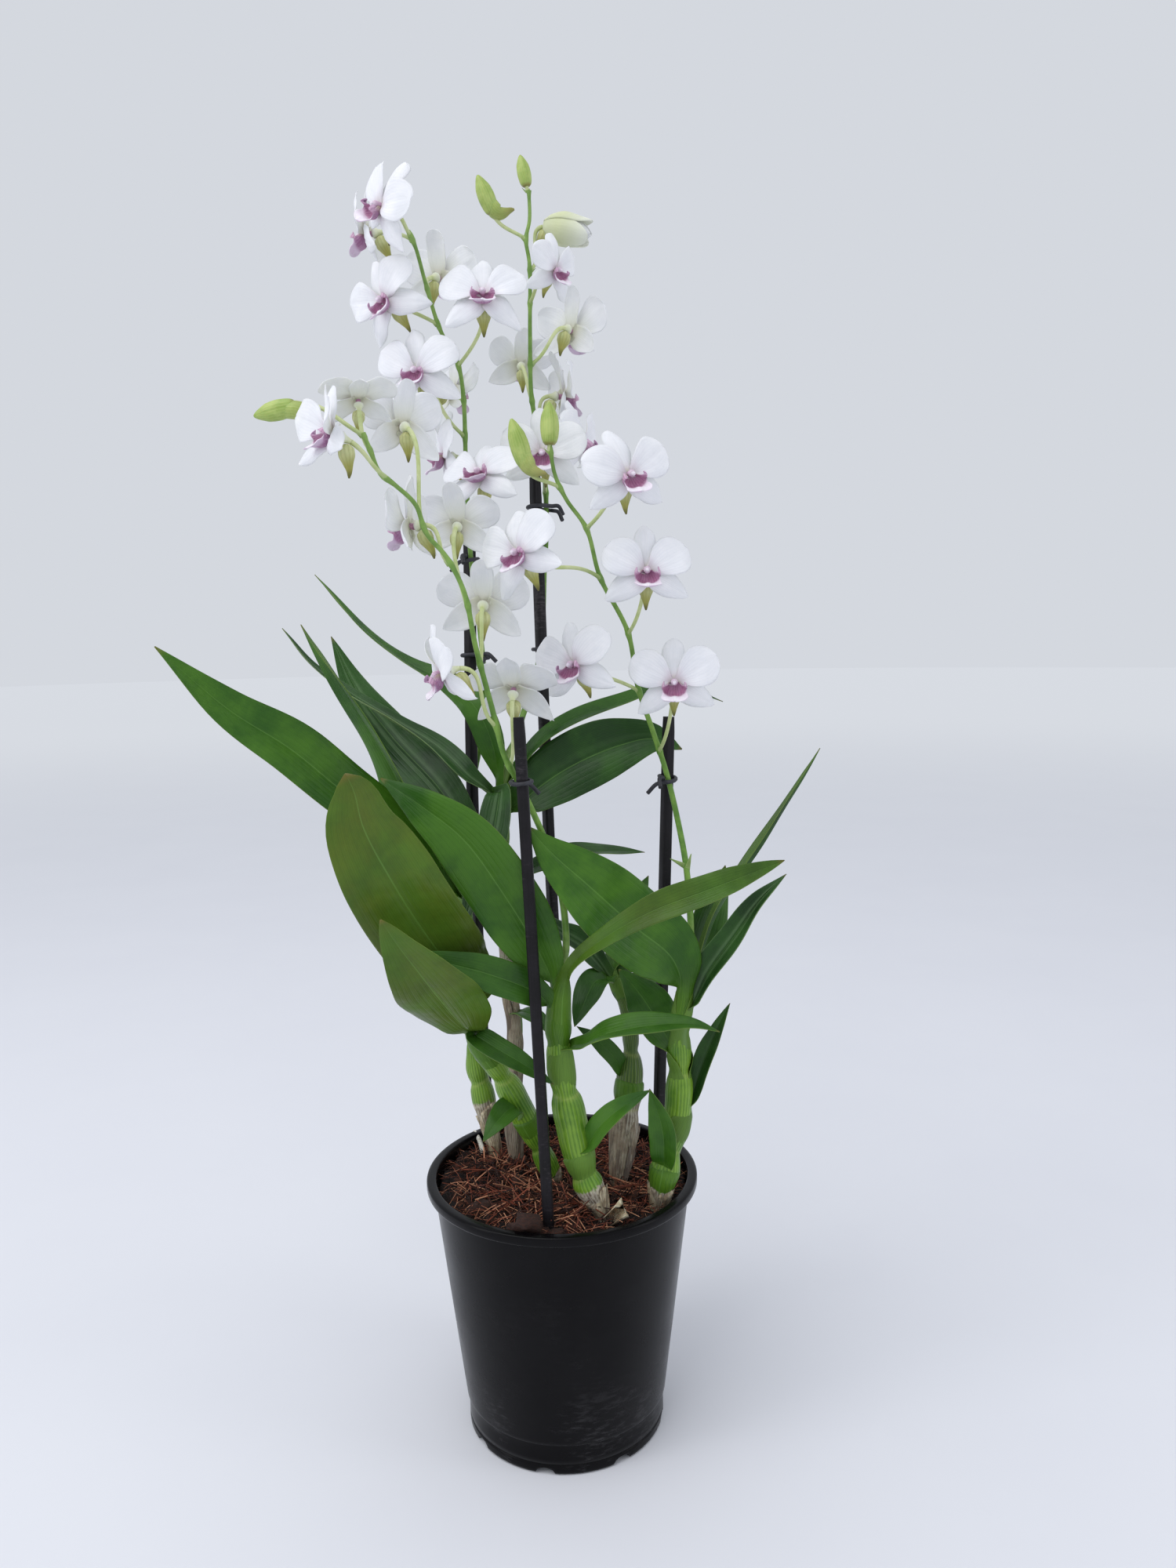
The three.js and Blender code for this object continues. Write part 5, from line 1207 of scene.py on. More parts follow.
# %% Leaf sheet
# For each shape of leaf: how its half width runs from foot to tip, and how much deeper it folds.
LEAF_SHAPES = {
    "strap": ([[0, 0.2], [0.07, 0.36], [0.16, 0.66], [0.36, 0.98], [0.47, 1.0], [0.58, 0.96],
               [0.8, 0.6], [0.93, 0.24], [1, 0.02]], 7),
    "broad": ([[0, 0.16], [0.07, 0.28], [0.18, 0.66], [0.33, 1.06], [0.47, 1.1], [0.65, 0.86],
               [0.85, 0.45], [0.95, 0.2], [1, 0.02]], 0),
    "blunt": ([[0, 0.2], [0.07, 0.36], [0.16, 0.66], [0.36, 0.98], [0.5, 1.0], [0.65, 0.96],
               [0.8, 0.8], [0.92, 0.52], [0.98, 0.24], [1, 0.02]], 7),
    "slim": ([[0, 0.3], [0.08, 0.56], [0.22, 1.0], [0.36, 0.96], [0.5, 0.72], [0.65, 0.5],
              [0.8, 0.38], [0.93, 0.22], [1, 0.02]], 8),
    "late": ([[0, 0.2], [0.08, 0.26], [0.25, 0.4], [0.45, 0.58], [0.65, 0.74], [0.78, 0.68],
              [0.9, 0.4], [0.96, 0.2], [1, 0.02]], 12),
}
HALF_COLUMNS = np.array([0.025, 0.07, 0.17, 0.32, 0.5, 0.68, 0.84, 0.95, 1])
LEAF_COLUMNS = np.concatenate([-HALF_COLUMNS[::-1], HALF_COLUMNS])
LEAF_ROWS, SHEATH_ROWS = 46, 9
FOOT_FOLD = 40  # degrees that each half folds up where the blade leaves its sheath
SHEATH_WRAP = 2.3  # radians that each half of the sheath reaches round the cane


def any_phase(rng):
    return rng.uniform(0, 6.28)


def turned_round(vectors, axes, angles):
    """Each vector turned about its own axis."""
    c, s = np.cos(angles)[:, None], np.sin(angles)[:, None]
    along = (vectors * axes).sum(-1, keepdims=True)
    return vectors * c + np.cross(axes, vectors) * s + axes * along * (1 - c)


class Clasp:
    """The part of a cane that a leaf's foot wraps: its axis, its girth, and the leaf's bearing."""

    def __init__(self, line, girth, midrib):
        start, later = np.array(midrib[0], float), np.array(midrib[1], float)
        self.length, self.line, self.girth = lengths_of(line), line, girth
        self.at = self.length[int(np.argmin(np.linalg.norm(line - start, axis=1)))]
        self.rise = self.read(self.at)[1]
        way = later - start
        self.out = unit(way - self.rise * way.dot(self.rise))

    def read(self, along):
        """The point, direction and girth of the cane at a length along it, or beyond its end."""
        inside = np.clip(along, 0, self.length[-1])
        point = np.array([np.interp(inside, self.length, self.line[:, k]) for k in range(3)])
        before = np.array([np.interp(inside - 2, self.length, self.line[:, k]) for k in range(3)])
        way = unit(point - before) if inside > 2 else unit(self.line[1] - self.line[0])
        return point + way * (along - inside), way, np.interp(inside, self.length, self.girth)

    def arc(self, along, u, half_turn, gap, hand):
        """Points round the cane from one free edge of the sheath to the other."""
        point, way, girth = self.read(along)
        out = unit(self.out - way * self.out.dot(way))
        aside = np.cross(way, out) * hand
        turns = u * half_turn
        return point + (girth + gap) * (np.cos(turns)[:, None] * out + np.sin(turns)[:, None] * aside)


def leaf(skin, plan, cane, number, seed, **marks):
    """One leaf: a folded sheet on its midrib, whose foot wraps round the cane."""
    rng = random.Random(seed)
    v = np.linspace(0, 1, LEAF_ROWS)
    line = even_line(plan.midrib, LEAF_ROWS)
    ways = tangents_of(line)
    face = np.broadcast_to(np.array(plan.face, float), ways.shape)
    face = turned_round(face, ways, np.radians(plan.twist) * v)
    face = unit(face - ways * (face * ways).sum(-1, keepdims=True))
    side = np.cross(ways, face)
    outline, deeper = LEAF_SHAPES[plan.shape]
    half = eased(outline, v) * plan.width / 2
    fold = plan.fold + deeper
    lean = np.radians(fold + (FOOT_FOLD - fold) * np.exp(-(v / 0.12) ** 2))
    u = LEAF_COLUMNS[None]
    reach = half[:, None] * np.abs(u)
    wave = np.zeros_like(reach)
    for edge in (-1, 1):
        waves, phase = rng.uniform(1.2, 2.4), any_phase(rng)
        swing = np.sin(2 * np.pi * waves * v + phase) * np.sin(np.pi * v) ** 0.7
        wave += np.where(u * edge > 0, 0.05 * plan.width * swing[:, None] * np.abs(u) ** 2.4, 0)
    rise = np.sin(lean)[:, None] * reach * (0.35 + 0.65 * np.abs(u) ** 0.6) - 0.1 * reach * np.abs(u) ** 3
    aside = np.sign(u) * reach * np.cos(lean)[:, None]
    grid = line[:, None] + side[:, None] * aside[..., None] + face[:, None] * (rise + wave)[..., None]
    # The foot of the blade eases out of the sheath, and the sheath goes on down the cane.
    length = lengths_of(line)[-1]
    foot_share = 0.22 if length < 90 else 0.17
    hand = 1.0 if side[4] @ np.cross(cane.rise, cane.out) > 0 else -1.0
    gap = 0.3 + 0.25 * (number % 3)
    for row, share in enumerate(v):
        ease = np.clip(share / foot_share, 0, 1)
        if ease < 1:
            arc = cane.arc(cane.at + share * length * 0.8, u[0], SHEATH_WRAP - 1.2 * ease,
                           gap + 1.2 * ease, hand)
            grid[row] += (arc - grid[row]) * (1 - ease ** 2 * (3 - 2 * ease))
    sheath_length = min(18.0, 0.14 * length + 3)
    steps = np.linspace(1, 0, SHEATH_ROWS)[:-1]
    sheath = np.array([cane.arc(cane.at - s * sheath_length, u[0], SHEATH_WRAP + 0.75 * s,
                                gap - (gap + 0.5) * s ** 3, hand) for s in steps])
    grid = np.concatenate([sheath, grid])
    v = np.concatenate([np.zeros(len(steps)), v])
    body = (0.45 - 0.25 * np.abs(u) ** 1.5) * np.clip(0.35 + v[:, None] * 5, 0, 1)
    groove = np.exp(-(u / 0.05) ** 2) * np.clip(np.concatenate([0 * steps, half])[:, None] / 8, 0.0, 1)
    fade = np.clip((1 - v) / 0.1, 0.5, 1)[:, None]
    clasp = np.clip(1 - v / (foot_share * 1.1), 0, 1)[:, None] ** 1.3
    over, under = (body - 0.18 * groove) * fade, (body + 0.65 * groove) * fade
    skin.sheet(grid, over, under, LEAF_SKIN, clasp=clasp, **marks)


# %% [markdown]
# Young leaves are grass green and old ones bluish and dark, so a mark blends two mottled greens.
# Over them lie veins, a pale midrib, a dry tip, rust where the sun has been, and a yellowish margin
# that is painted light shining through the thin edge.
# The sheath at the foot is lighter. Wide soft swells bend the light, with fine relief over them.

# %% Leaf finish
leaf_finish, tree, shader = new_finish("leaf_green", IOR=1.45, Specular_IOR_Level=0.3)
place = place_of(tree)
veins = veined(tree, 17.0, 0.012, 3.0)
fine = veined(tree, 61.0, 0.02, 1.0)
fresh = mottled(tree, place, (72, 118, 26), (42, 88, 16), 30.0)["Color"]
deep = mottled(tree, place, (36, 76, 28), (14, 42, 18), 30.0)["Color"]
rust = between(tree, noise(tree, place, 38.0, 4.0), 0.3, 0.7, 0.45, 1.0)
paler_foot = maths(tree, "SUBTRACT", 1.0, times(tree, mark(tree, "dark"), 0.55))
ribs = veined(tree, 19.0, 0.1, 4.0)["Mask"]
foot = coats(tree, tone(74, 116, 28),
             (fine["Mask"], 0.4, (116, 152, 48)),
             (ribs, between(tree, noise(tree, place, 90.0, 2.0), 0.4, 0.6, 0.0, 0.6), (52, 92, 22)))
colour = coats(tree, fresh,
               (mark(tree, "dark"), 1, deep),
               (mark(tree, "dry"), rust, (98, 100, 30)),
               (veins["Mask"], 0.07, (28, 66, 22)),
               (fine["Mask"], 0.05, (120, 168, 80)),
               (mark(tree, "clasp"), paler_foot, foot),
               (veins["Middle"], 0.25, (122, 168, 84)))
# The pale yellowish line at the margin, laid on below, is painted light shining through the thin edge.
sideways = out_of(tree, "ShaderNodeSeparateXYZ", {0: out_of(tree, "ShaderNodeUVMap", uv_map="UVMap")})
off_middle = maths(tree, "ABSOLUTE", maths(tree, "SUBTRACT", sideways, 0.5))
# Painted sheen: three pale stripes along the halves of dark leaves, where their gloss catches light.
painted_sheen_stripes = veined(tree, 3.0, 0.06, 6.0)["Mask"]
colour = coats(tree, colour,
               (mark(tree, "under"), 1, mix(tree, 0.28, colour, tone(124, 152, 76))),
               (between(tree, veins["Along"], 0.972, 1.0, 0.0, 0.55), 1, (120, 98, 52)),
               (between(tree, off_middle, 0.48, 0.5, 0.0, 0.35), 1, (132, 150, 72)),
               (painted_sheen_stripes, between(tree, mark(tree, "dark"), 0.75, 0.95, 0.0, 0.3), (126, 156, 112)))
grain = times(tree, noise(tree, place, 700.0, 2.0), 0.35)
relief = maths(tree, "ADD", times(tree, veins["Mask"], -0.8),
               maths(tree, "ADD", times(tree, fine["Mask"], 0.25), grain))
swells = bump(tree, noise(tree, place, 55.0, 2.0), 0.35, 0.004)
worn = between(tree, noise(tree, place, 60.0, 4.0), 0.3, 0.7, 0.3, 0.42)
duller_back = times(tree, mark(tree, "under"), 0.15)
feed(tree, shader, Base_Color=colour, Roughness=maths(tree, "ADD", worn, duller_back),
     Normal=bump(tree, relief, 0.22, 0.0004, swells))

# %% [markdown]
# An old sheath dries, splits and stands off its cane. It is a sheet wrapped part of the way round,
# with a ragged top and a crumple, because a tube would close round the cane and look wet.

# %% Papery sheath finish
paper_finish, tree, shader = new_finish("sheath_paper", Subsurface_Weight=0.1, Subsurface_Scale=0.001)
place = place_of(tree)
veins = veined(tree, 14.0, 0.05, 1.5)
base = mottled(tree, place, (222, 212, 184), (172, 154, 122), 160.0)
streaks = noise(tree, place_of(tree, (1, 1, 0.14)), 330.0, 4.0, 0.7)
colour = coats(tree, base["Color"],
               (veins["Mask"], 0.4, (140, 116, 84)),
               (mark(tree, "tint"), 1, (104, 94, 88)),
               (between(tree, streaks, 0.46, 0.6, 0.0, 0.65), 1, (76, 60, 52)))
feed(tree, shader, Base_Color=colour, Roughness=between(tree, base["Mask"], 0, 1, 0.7, 0.9),
     Normal=bump(tree, veins["Mask"], 0.5, 0.0005))


# %% Papery sheaths
PAPER_HALF = 0.16  # half of a dry sheath's thickness


def papery(skin, line, radii, seed, low, high, bearing, sweep, flare, tint):
    """A torn dry sheath that wraps part of a cane and stands off it at its ragged top."""
    rng = np.random.default_rng(seed)
    rows, columns = 16, 22
    normals, sideways = carried_frames(line)
    turns = bearing + np.linspace(-0.5, 0.5, columns) * sweep
    ragged = np.interp(np.arange(columns), np.linspace(0, columns - 1, 8), rng.uniform(0.55, 1, 8))
    share = np.linspace(0, 1, rows)[:, None] * ragged[None]
    stops = (low + (high - low) * share) * (len(line) - 1)
    index = np.clip(stops, 0, len(line) - 1)

    def read(values):
        return np.stack([np.interp(index, np.arange(len(line)), values[:, k]) for k in range(3)], -1)
    out = read(normals) * np.cos(turns)[None, :, None] + read(sideways) * np.sin(turns)[None, :, None]
    crumple = np.interp(np.arange(columns), np.linspace(0, columns - 1, 9), rng.uniform(-1, 1, 9))
    stand_off = flare[0] + (flare[1] - flare[0]) * share ** 2.2 + 0.5 * crumple[None] * share
    girth = np.interp(index, np.arange(len(line)), radii) + stand_off
    skin.sheet(read(line) + out * girth[..., None], PAPER_HALF, PAPER_HALF, PAPER_SKIN, tint=tint)


# For each cane: low and high share of the line, bearing, sweep, how far it stands off at its foot
# and at its top, and tint.
PAPER = {
    "cane_1": [(0.06, 0.23, -1.1, 2.4, (0.3, 1.6), 0.05), (0.06, 0.2, -2.9, 2.0, (0.35, 1.2), 0.2),
               (0.05, 0.19, 0.6, 1.6, (0.3, 1.6), 0.1)],
    "cane_2": [(0.07, 0.2, -1.8, 2.6, (0.3, 1.0), 0.1), (0.05, 0.17, -0.2, 1.4, (0.3, 1.4), 0.3)],
    "cane_3": [(0.1, 0.22, -1.4, 2.0, (0.3, 1.4), 0.5)],
    "cane_4": [(0.08, 0.31, -1.6, 3.4, (0.3, 1.3), 0.0), (0.05, 0.24, -3.2, 1.8, (0.3, 1.2), 0.2)],
    "cane_5": [(0.06, 0.26, -1.2, 3.0, (0.3, 1.4), 0.7), (0.24, 0.5, -2.0, 2.6, (0.4, 1.2), 0.6)],
    "cane_6": [(0.08, 0.44, -1.6, 3.2, (0.3, 1.0), 0.6), (0.05, 0.3, -0.2, 1.8, (0.4, 1.6), 0.9)],
}
# Darkness of each leaf, in the order of the plans, and the rust on those that have some.
LEAF_DARK = {
    "cane_1": [0.2, 0.5, 0.35, 0.3, 0.2], "cane_2": [0.15, 0.7, 0.5, 0.9, 0.8, 0.5, 0.2],
    "cane_3": [0.1, 0.15, 0.5, 0.4], "cane_4": [0.15, 0.3],
    "cane_5": [0.9, 0.95, 0.4, 0.6, 0.8, 0.9, 0.7, 0.6], "cane_6": [0.9, 0.5, 0.6, 0.6, 0.5]}
LEAF_RUST = {("cane_3", 0): 0.55, ("cane_3", 1): 0.5, ("cane_1", 2): 0.3}
# A scrap of sheath that has curled up beside the foot of the first cane.
CURL = {"cane": "cane_1", "line": [[23, -45, 129.5], [27, -49, 135], [33, -51, 141]], "radius": 2.6,
        "rows": 20, "seed": 77, "sheath": (0.0, 1.0, 0.6, 4.3, (0.2, 2.2), 0.0)}

# %% Grow the canes
LINE_ROWS = 120
for number, (name, plan) in enumerate(CANES.items()):
    skin = Skin("dry", "dark", "hem", "tint", "clasp", "under")
    cane_body(skin, name, plan)
    line = points_at(cane_line(plan), np.linspace(0, 1, LINE_ROWS))
    radii = cane_girth(name, plan, line)
    for count, shape in enumerate(plan["leaves"]):
        leaf(skin, shape, Clasp(line, radii, shape.midrib), count, 100 * number + count,
             dark=LEAF_DARK[name][count], dry=LEAF_RUST.get((name, count), 0.0))
    for count, sheath in enumerate(PAPER[name]):
        papery(skin, line, radii, 10 * number + count, *sheath)
    if name == CURL["cane"]:
        curl = points_at(np.array(CURL["line"], float), np.linspace(0, 1, CURL["rows"]))
        papery(skin, curl, np.full(CURL["rows"], CURL["radius"]), CURL["seed"], *CURL["sheath"])
    made = skin.piece(name + "_with_leaves", [cane_finish, leaf_finish, paper_finish])
    settle(made, name)

# %% [markdown]
# ## Blooms
#
# A bloom has five white tepals: a sepal on top, two lower ones, and two broad round petals at the
# sides. Below the middle sits the lip, a small funnel that is deep mauve inside, with two side
# lobes that stand up beside the white column and a tongue that reaches forward. Behind, the lower
# sepals run together into a green spur. Every bloom is built in its own frame, where +Z is the way
# it looks, +Y its top and all sizes are shares of its span. Then it is turned into place. Small
# seeded differences keep any two from being twins. A young bloom's tepals still lean ahead.

# %% Bloom frame
PETAL_SKIN, LIP_SKIN, SPUR_SKIN = 0, 1, 2  # the order of the finishes on a bloom's mesh
OVARY_END = np.array([0, -0.01, -0.17])
OVARY_SIDE = np.array([0, -0.05, -0.3])


def bloom_turn(pose):
    """The directions right, up and ahead of a bloom, as the rows of a matrix."""
    ahead = unit(pose.facing)
    up = np.array([0, 0, 1.0])
    up = unit(up - ahead * up.dot(ahead))
    up = turned_round(up[None], ahead[None], np.radians([pose.roll]))[0]
    return np.stack([np.cross(up, ahead), up, ahead])


class Placed:
    """Maps points of a bloom's own frame to their place on the plant."""

    def __init__(self, pose):
        self.rows, self.at, self.span = bloom_turn(pose), np.array(pose.at, float), pose.span

    def __call__(self, points):
        return (np.asarray(points) * self.span) @ self.rows + self.at


# %% Tepals
BROAD = {"tip": (2.3, 0.5), "columns": 19, "ripple": 0.022, "dish": 0.16, "green": 0.35}
NARROW = {"tip": (2.3, 0.5), "columns": 13, "ripple": 0.014, "dish": -0.22, "green": 0.8}
PETAL = {**BROAD, "length": 0.51, "half": 0.2, "round": 0.6,
         "rise": [[0, 0.0], [0.3, 0.035], [0.65, 0.045], [1, 0.01]],
         "outline": [[0, 0.17], [0.1, 0.24], [0.25, 0.58], [0.45, 0.9], [0.6, 1.0]]}
CROWN = {**NARROW, "length": 0.49, "half": 0.114, "round": 0.62,
         "rise": [[0, 0.0], [0.38, 0.0], [0.7, -0.01], [1, -0.05]],
         "outline": [[0, 0.6], [0.15, 0.68], [0.45, 0.98], [0.62, 1.0]]}
SEPAL = {**NARROW, "length": 0.5, "half": 0.135, "round": 0.48, "tip": (1.5, 0.75),
         "rise": [[0, 0.0], [0.38, 0.0], [0.7, -0.03], [1, -0.09]],
         "outline": [[0, 0.75], [0.15, 0.85], [0.35, 1.0], [0.48, 0.97]]}
TEPALS = [(28, PETAL), (90, CROWN), (152, PETAL), (214, SEPAL), (326, SEPAL)]


def tepal(skin, place, bearing, kind, rng, green, cup):
    """One tepal, on a centre line that leaves the heart, leans ahead by its cup and bends back."""
    split = kind["round"]
    bulge, power = kind["tip"]
    v = np.concatenate([np.linspace(0, split, 12)[:-1],
                        split + (0.998 - split) * np.sin(np.linspace(0, np.pi / 2, 14))])
    blunt = (1 - np.clip((v - split) / (1 - split), 0, 1) ** bulge) ** power
    half = eased(kind["outline"], np.minimum(v, split)) * blunt * kind["half"] * rng.uniform(0.94, 1.06)
    length = kind["length"] * rng.uniform(0.94, 1.0)
    u = np.linspace(-1, 1, kind["columns"])[None]
    row = v[:, None]
    bend, phase, waves = rng.uniform(-0.1, 0.03), any_phase(rng), rng.uniform(0.9, 1.7)
    ripple = np.sin(waves * 6.28 * row + phase + 1.3 * u) * np.abs(u) ** 2 * kind["ripple"]
    furrows = 0.004 * np.cos(u * 9.4) * np.sin(np.pi * np.clip(row * 1.3, 0, 1))
    crease = 0.014 * np.exp(-(u / 0.13) ** 2) * np.sin(np.pi * row)
    dish = half[:, None] * u ** 2 * (kind["dish"] - 0.34 * row ** 2)
    tilt = rng.uniform(-0.12, 0.12) * half[:, None] * u * row
    height = eased(kind["rise"], v)[:, None] + ripple + furrows - crease + dish + tilt + bend * row ** 2.5
    turn = math.radians(bearing + rng.uniform(-5, 5))
    out = np.array([math.cos(turn), math.sin(turn), 0])
    side = np.array([out[1], -out[0], 0])
    sway = rng.uniform(-0.03, 0.03) * row ** 2
    height = height + row * length * math.sin(cup)
    grid = (out * (row * length * math.cos(cup))[..., None] + side * (half[:, None] * u + sway)[..., None]
            + np.array([0, 0, 1.0]) * height[..., None])
    thin = (0.42 - 0.27 * row) * (1 - 0.55 * np.abs(u) ** 3)
    base = np.exp(-(row / 0.14) ** 2) * (1 - 0.5 * np.abs(u)) * kind["green"]
    skin.sheet(place(grid), thin, thin, PETAL_SKIN, green=np.clip(base + green, 0, 1),
               mauve=0.42 * np.exp(-((row - 0.08) / 0.15) ** 2))


# %% Lip
LIP_LINE = [[0, 0.0, 0.006], [0, -0.07, 0.016], [0, -0.128, 0.045], [0, -0.15, 0.1], [0, -0.158, 0.16],
            [0, -0.2, 0.21]]
LIP_RISE = [[0, 0.03], [0.15, 0.07], [0.3, 0.1], [0.5, 0.106], [0.64, 0.08], [0.74, 0.045], [1, 0.018]]
LIP_HALF = [[0, 0.055], [0.15, 0.09], [0.4, 0.125], [0.6, 0.124], [0.7, 0.116], [0.83, 0.132],
            [0.93, 0.108], [0.98, 0.06], [1, 0.02]]
DEEP = [[0, 0.8], [0.3, 1.0], [0.5, 0.85], [0.62, 0.45], [0.74, 0.1], [1, 0.0]]
TONGUE = [[0, 0.0], [0.58, 0.0], [0.74, 0.85], [1, 1.0]]
LIP_THIN, SHELL_THIN = 0.2, 0.25  # half the thickness of a lip and of a wrapped tepal


def lip(skin, place, rng):
    """A hull under the column: two lobes stand up beside it, and a tongue reaches out in front."""
    v = np.linspace(0, 1, 40)
    u = np.linspace(-1, 1, 25)[None]
    line = even_line(LIP_LINE, len(v))
    ways = tangents_of(line)
    normal = np.stack([np.zeros(len(v)), ways[:, 2], -ways[:, 1]], -1)
    half, rise = eased(LIP_HALF, v)[:, None], eased(LIP_RISE, v)[:, None]
    lobes = 1 - eased(TONGUE, v)[:, None]
    bow = u * np.radians(58 + 66 * lobes)
    aside = half * np.sin(bow) / np.sin(np.radians(58 + 32 * lobes))
    frill = 0.012 * np.sin(13 * v[:, None] + 4 * u + any_phase(rng)) * u ** 4
    ridge = 0.013 * np.exp(-(u / 0.14) ** 2) * np.clip((v[:, None] - 0.3) * 3, 0, 1)
    height = rise * (1 - np.cos(bow)) + frill + ridge
    grid = line[:, None] - np.array([1.0, 0, 0]) * aside[..., None] + normal[:, None] * height[..., None]
    rim = np.clip((np.abs(u) - 0.62) / 0.38, 0, 1) * lobes
    skin.sheet(place(grid), LIP_THIN, LIP_THIN, LIP_SKIN, rim=rim, tongue=1 - lobes,
               deep=eased(DEEP, v)[:, None] * (1 - 0.75 * rim),
               green=eased([[0, 0.6], [0.12, 0.2], [0.2, 0]], v)[:, None])


# %% Column, ovary and spur
def cone(skin, place, points, girth, finish, count=18, sides=16, **marks):
    """A round body whose girth, a table in shares of the span, runs along a few points."""
    stops = np.linspace(0, 1, count)
    line = even_line(points, count)
    marks = {name: eased(table, stops)[:, None] for name, table in marks.items()}
    skin.tube(place(line), eased(girth, stops) * place.span, sides, finish, **marks)


def heart(skin, place):
    """The column in a bloom's middle, with its cap."""
    cone(skin, place, [[0, -0.01, -0.05], [0, 0.01, 0.03], [0, 0.0, 0.1]],
         [[0, 0.03], [0.5, 0.028], [0.85, 0.036], [1, 0.024]], LIP_SKIN,
         tongue=[[0, 0], [0.5, 0.1], [1, 0.35]], deep=[[0, 1], [0.6, 0.6], [1, 0.1]])
    cone(skin, place, [[0, 0.006, 0.085], [0, -0.014, 0.128]],
         [[0, 0.006], [0.12, 0.016], [0.5, 0.021], [0.88, 0.015], [1, 0.005]], LIP_SKIN,
         count=12, sides=12, tongue=[[0, 0.8], [1, 0.8]])


def stalk_end(skin, place):
    """The ovary behind a bloom, and the blunt spur below it that ends in a small hook."""
    cone(skin, place, [[0, -0.01, -0.175], [0, -0.005, -0.11], [0, 0, -0.05]],
         [[0, 0.022], [0.4, 0.034], [0.75, 0.058], [1, 0.03]], PETAL_SKIN,
         green=[[0, 1], [0.7, 0.5], [1, 0]], mauve=[[0, 0], [0.7, 0], [1, 1]])
    cone(skin, place, [[0, -0.05, -0.135], [0, -0.12, -0.15], [0, -0.2, -0.178], [0, -0.275, -0.205],
                       [0, -0.335, -0.212]],
         [[0, 0.035], [0.14, 0.074], [0.3, 0.076], [0.55, 0.05], [0.75, 0.03], [0.9, 0.018], [1, 0.008]],
         SPUR_SKIN, count=26, sides=20, ripe=[[0, 0.0], [0.35, 0.35], [0.75, 0.8], [1, 1]])


# %% [markdown]
# The newest bloom has barely opened. Its tepals still overlap in a trumpet, so each is a part of a
# cylinder, and the inner ones lie a hair inside the outer ones and close over the mouth.

# %% Half open bloom
def half_open(skin, place, rng):
    """Three sepals round two petals and a lip, all still wrapped into a trumpet."""
    v = np.linspace(0, 0.995, 26)[:, None]
    u = np.linspace(-1, 1, 17)[None]
    reach = eased([[0, 0.07], [0.15, 0.15], [0.45, 0.21], [0.75, 0.2], [1, 0.22]], v[:, 0])[:, None]
    outer, inner = ((90, 0.014), (214, 0.01), (326, 0.012)), ((28, -0.012), (152, -0.018), (270, -0.024))
    for bearing, shell in outer + inner:
        closes = (bearing, shell) in inner
        pointed = np.radians(66) * (1 - np.clip((v - 0.45) / 0.55, 0, 1) ** 2.2) ** 0.6 + 0.02
        spread = np.full_like(v, np.radians(80)) if closes else pointed
        turn = math.radians(bearing) + u * spread
        ripple = 0.012 * np.sin(5 * v + 3 * u + any_phase(rng)) * np.abs(u) ** 2
        radius = (reach + shell * (1 - 0.4 * u ** 2)) * (1 - (1.0 if closes else 0.28) * v ** 4)
        radius = radius + ripple * (1 - v ** 4 if closes else 1)
        level = np.broadcast_to(-0.16 + v * rng.uniform(0.62, 0.68), turn.shape)
        grid = np.stack([radius * np.cos(turn), radius * np.sin(turn), level], -1)
        green = np.clip(1.0 - v, 0.12, 1) if closes else np.clip(1.3 - 0.9 * v, 0.45, 1)
        skin.sheet(place(grid[:, ::-1]), SHELL_THIN, SHELL_THIN, PETAL_SKIN, green=green)


# %% [markdown]
# Petals are cool white and faintly veined, and light passes a little into them, so they never go
# grey in the shade. The heart blushes mauve and the backs green. The lip is deepest in its throat,
# with paler flecks and a white tongue, and the spur ripens from cream to olive.

# %% Petal finish
petal_finish, tree, shader = new_finish("petal_white", IOR=1.4, Specular_IOR_Level=0.15, Sheen_Weight=0.1,
                                        Sheen_Roughness=0.4, Subsurface_Weight=0.3,
                                        Subsurface_Radius=(1.0, 0.95, 0.9), Subsurface_Scale=0.003)
place = place_of(tree)
veins = veined(tree, 13.0, 0.08, 2.4)
base = mottled(tree, place, (242, 242, 246), (234, 235, 240), 90.0)
colour = coats(tree, base["Color"],
               (veins["Mask"], between(tree, veins["Along"], 0.1, 0.85, 0.15, 0.03), (206, 205, 222)),
               (mark(tree, "mauve"), between(tree, base["Mask"], 0, 1, 0.6, 1.0), (176, 128, 166)),
               (mark(tree, "green"), 0.8, (204, 212, 142)),
               (mark(tree, "under"), between(tree, veins["Along"], 0.0, 0.6, 0.6, 0.03), (220, 224, 190)))
grain = noise(tree, place, 1300.0, 2.0)
relief = maths(tree, "ADD", times(tree, veins["Mask"], -0.6), times(tree, grain, 0.4))
feed(tree, shader, Base_Color=colour, Roughness=between(tree, grain, 0.3, 0.7, 0.45, 0.6),
     Normal=bump(tree, relief, 0.12, 0.0004))

# %% Lip finish
lip_finish, tree, shader = new_finish("lip_mauve", IOR=1.4, Specular_IOR_Level=0.3, Subsurface_Weight=0.15,
                                      Subsurface_Radius=(1.0, 0.6, 0.9), Subsurface_Scale=0.0015)
place = place_of(tree)
veins = veined(tree, 17.0, 0.05, 2.0)
tongue, deep, edge = mark(tree, "tongue"), mark(tree, "deep"), mark(tree, "rim")
inside = coats(tree, tone(216, 190, 208), (deep, 1, (182, 124, 156)), (tongue, 1, (246, 240, 248)))
outside = coats(tree, tone(172, 128, 160),
                (edge, 1, (198, 170, 196)), (deep, 0.35, (132, 80, 118)), (tongue, 0.8, (232, 218, 234)))
fleck = between(tree, noise(tree, place, 420.0, 3.0), 0.35, 0.65, 0.0, 0.22)
off_tongue = maths(tree, "SUBTRACT", 1.0, tongue)
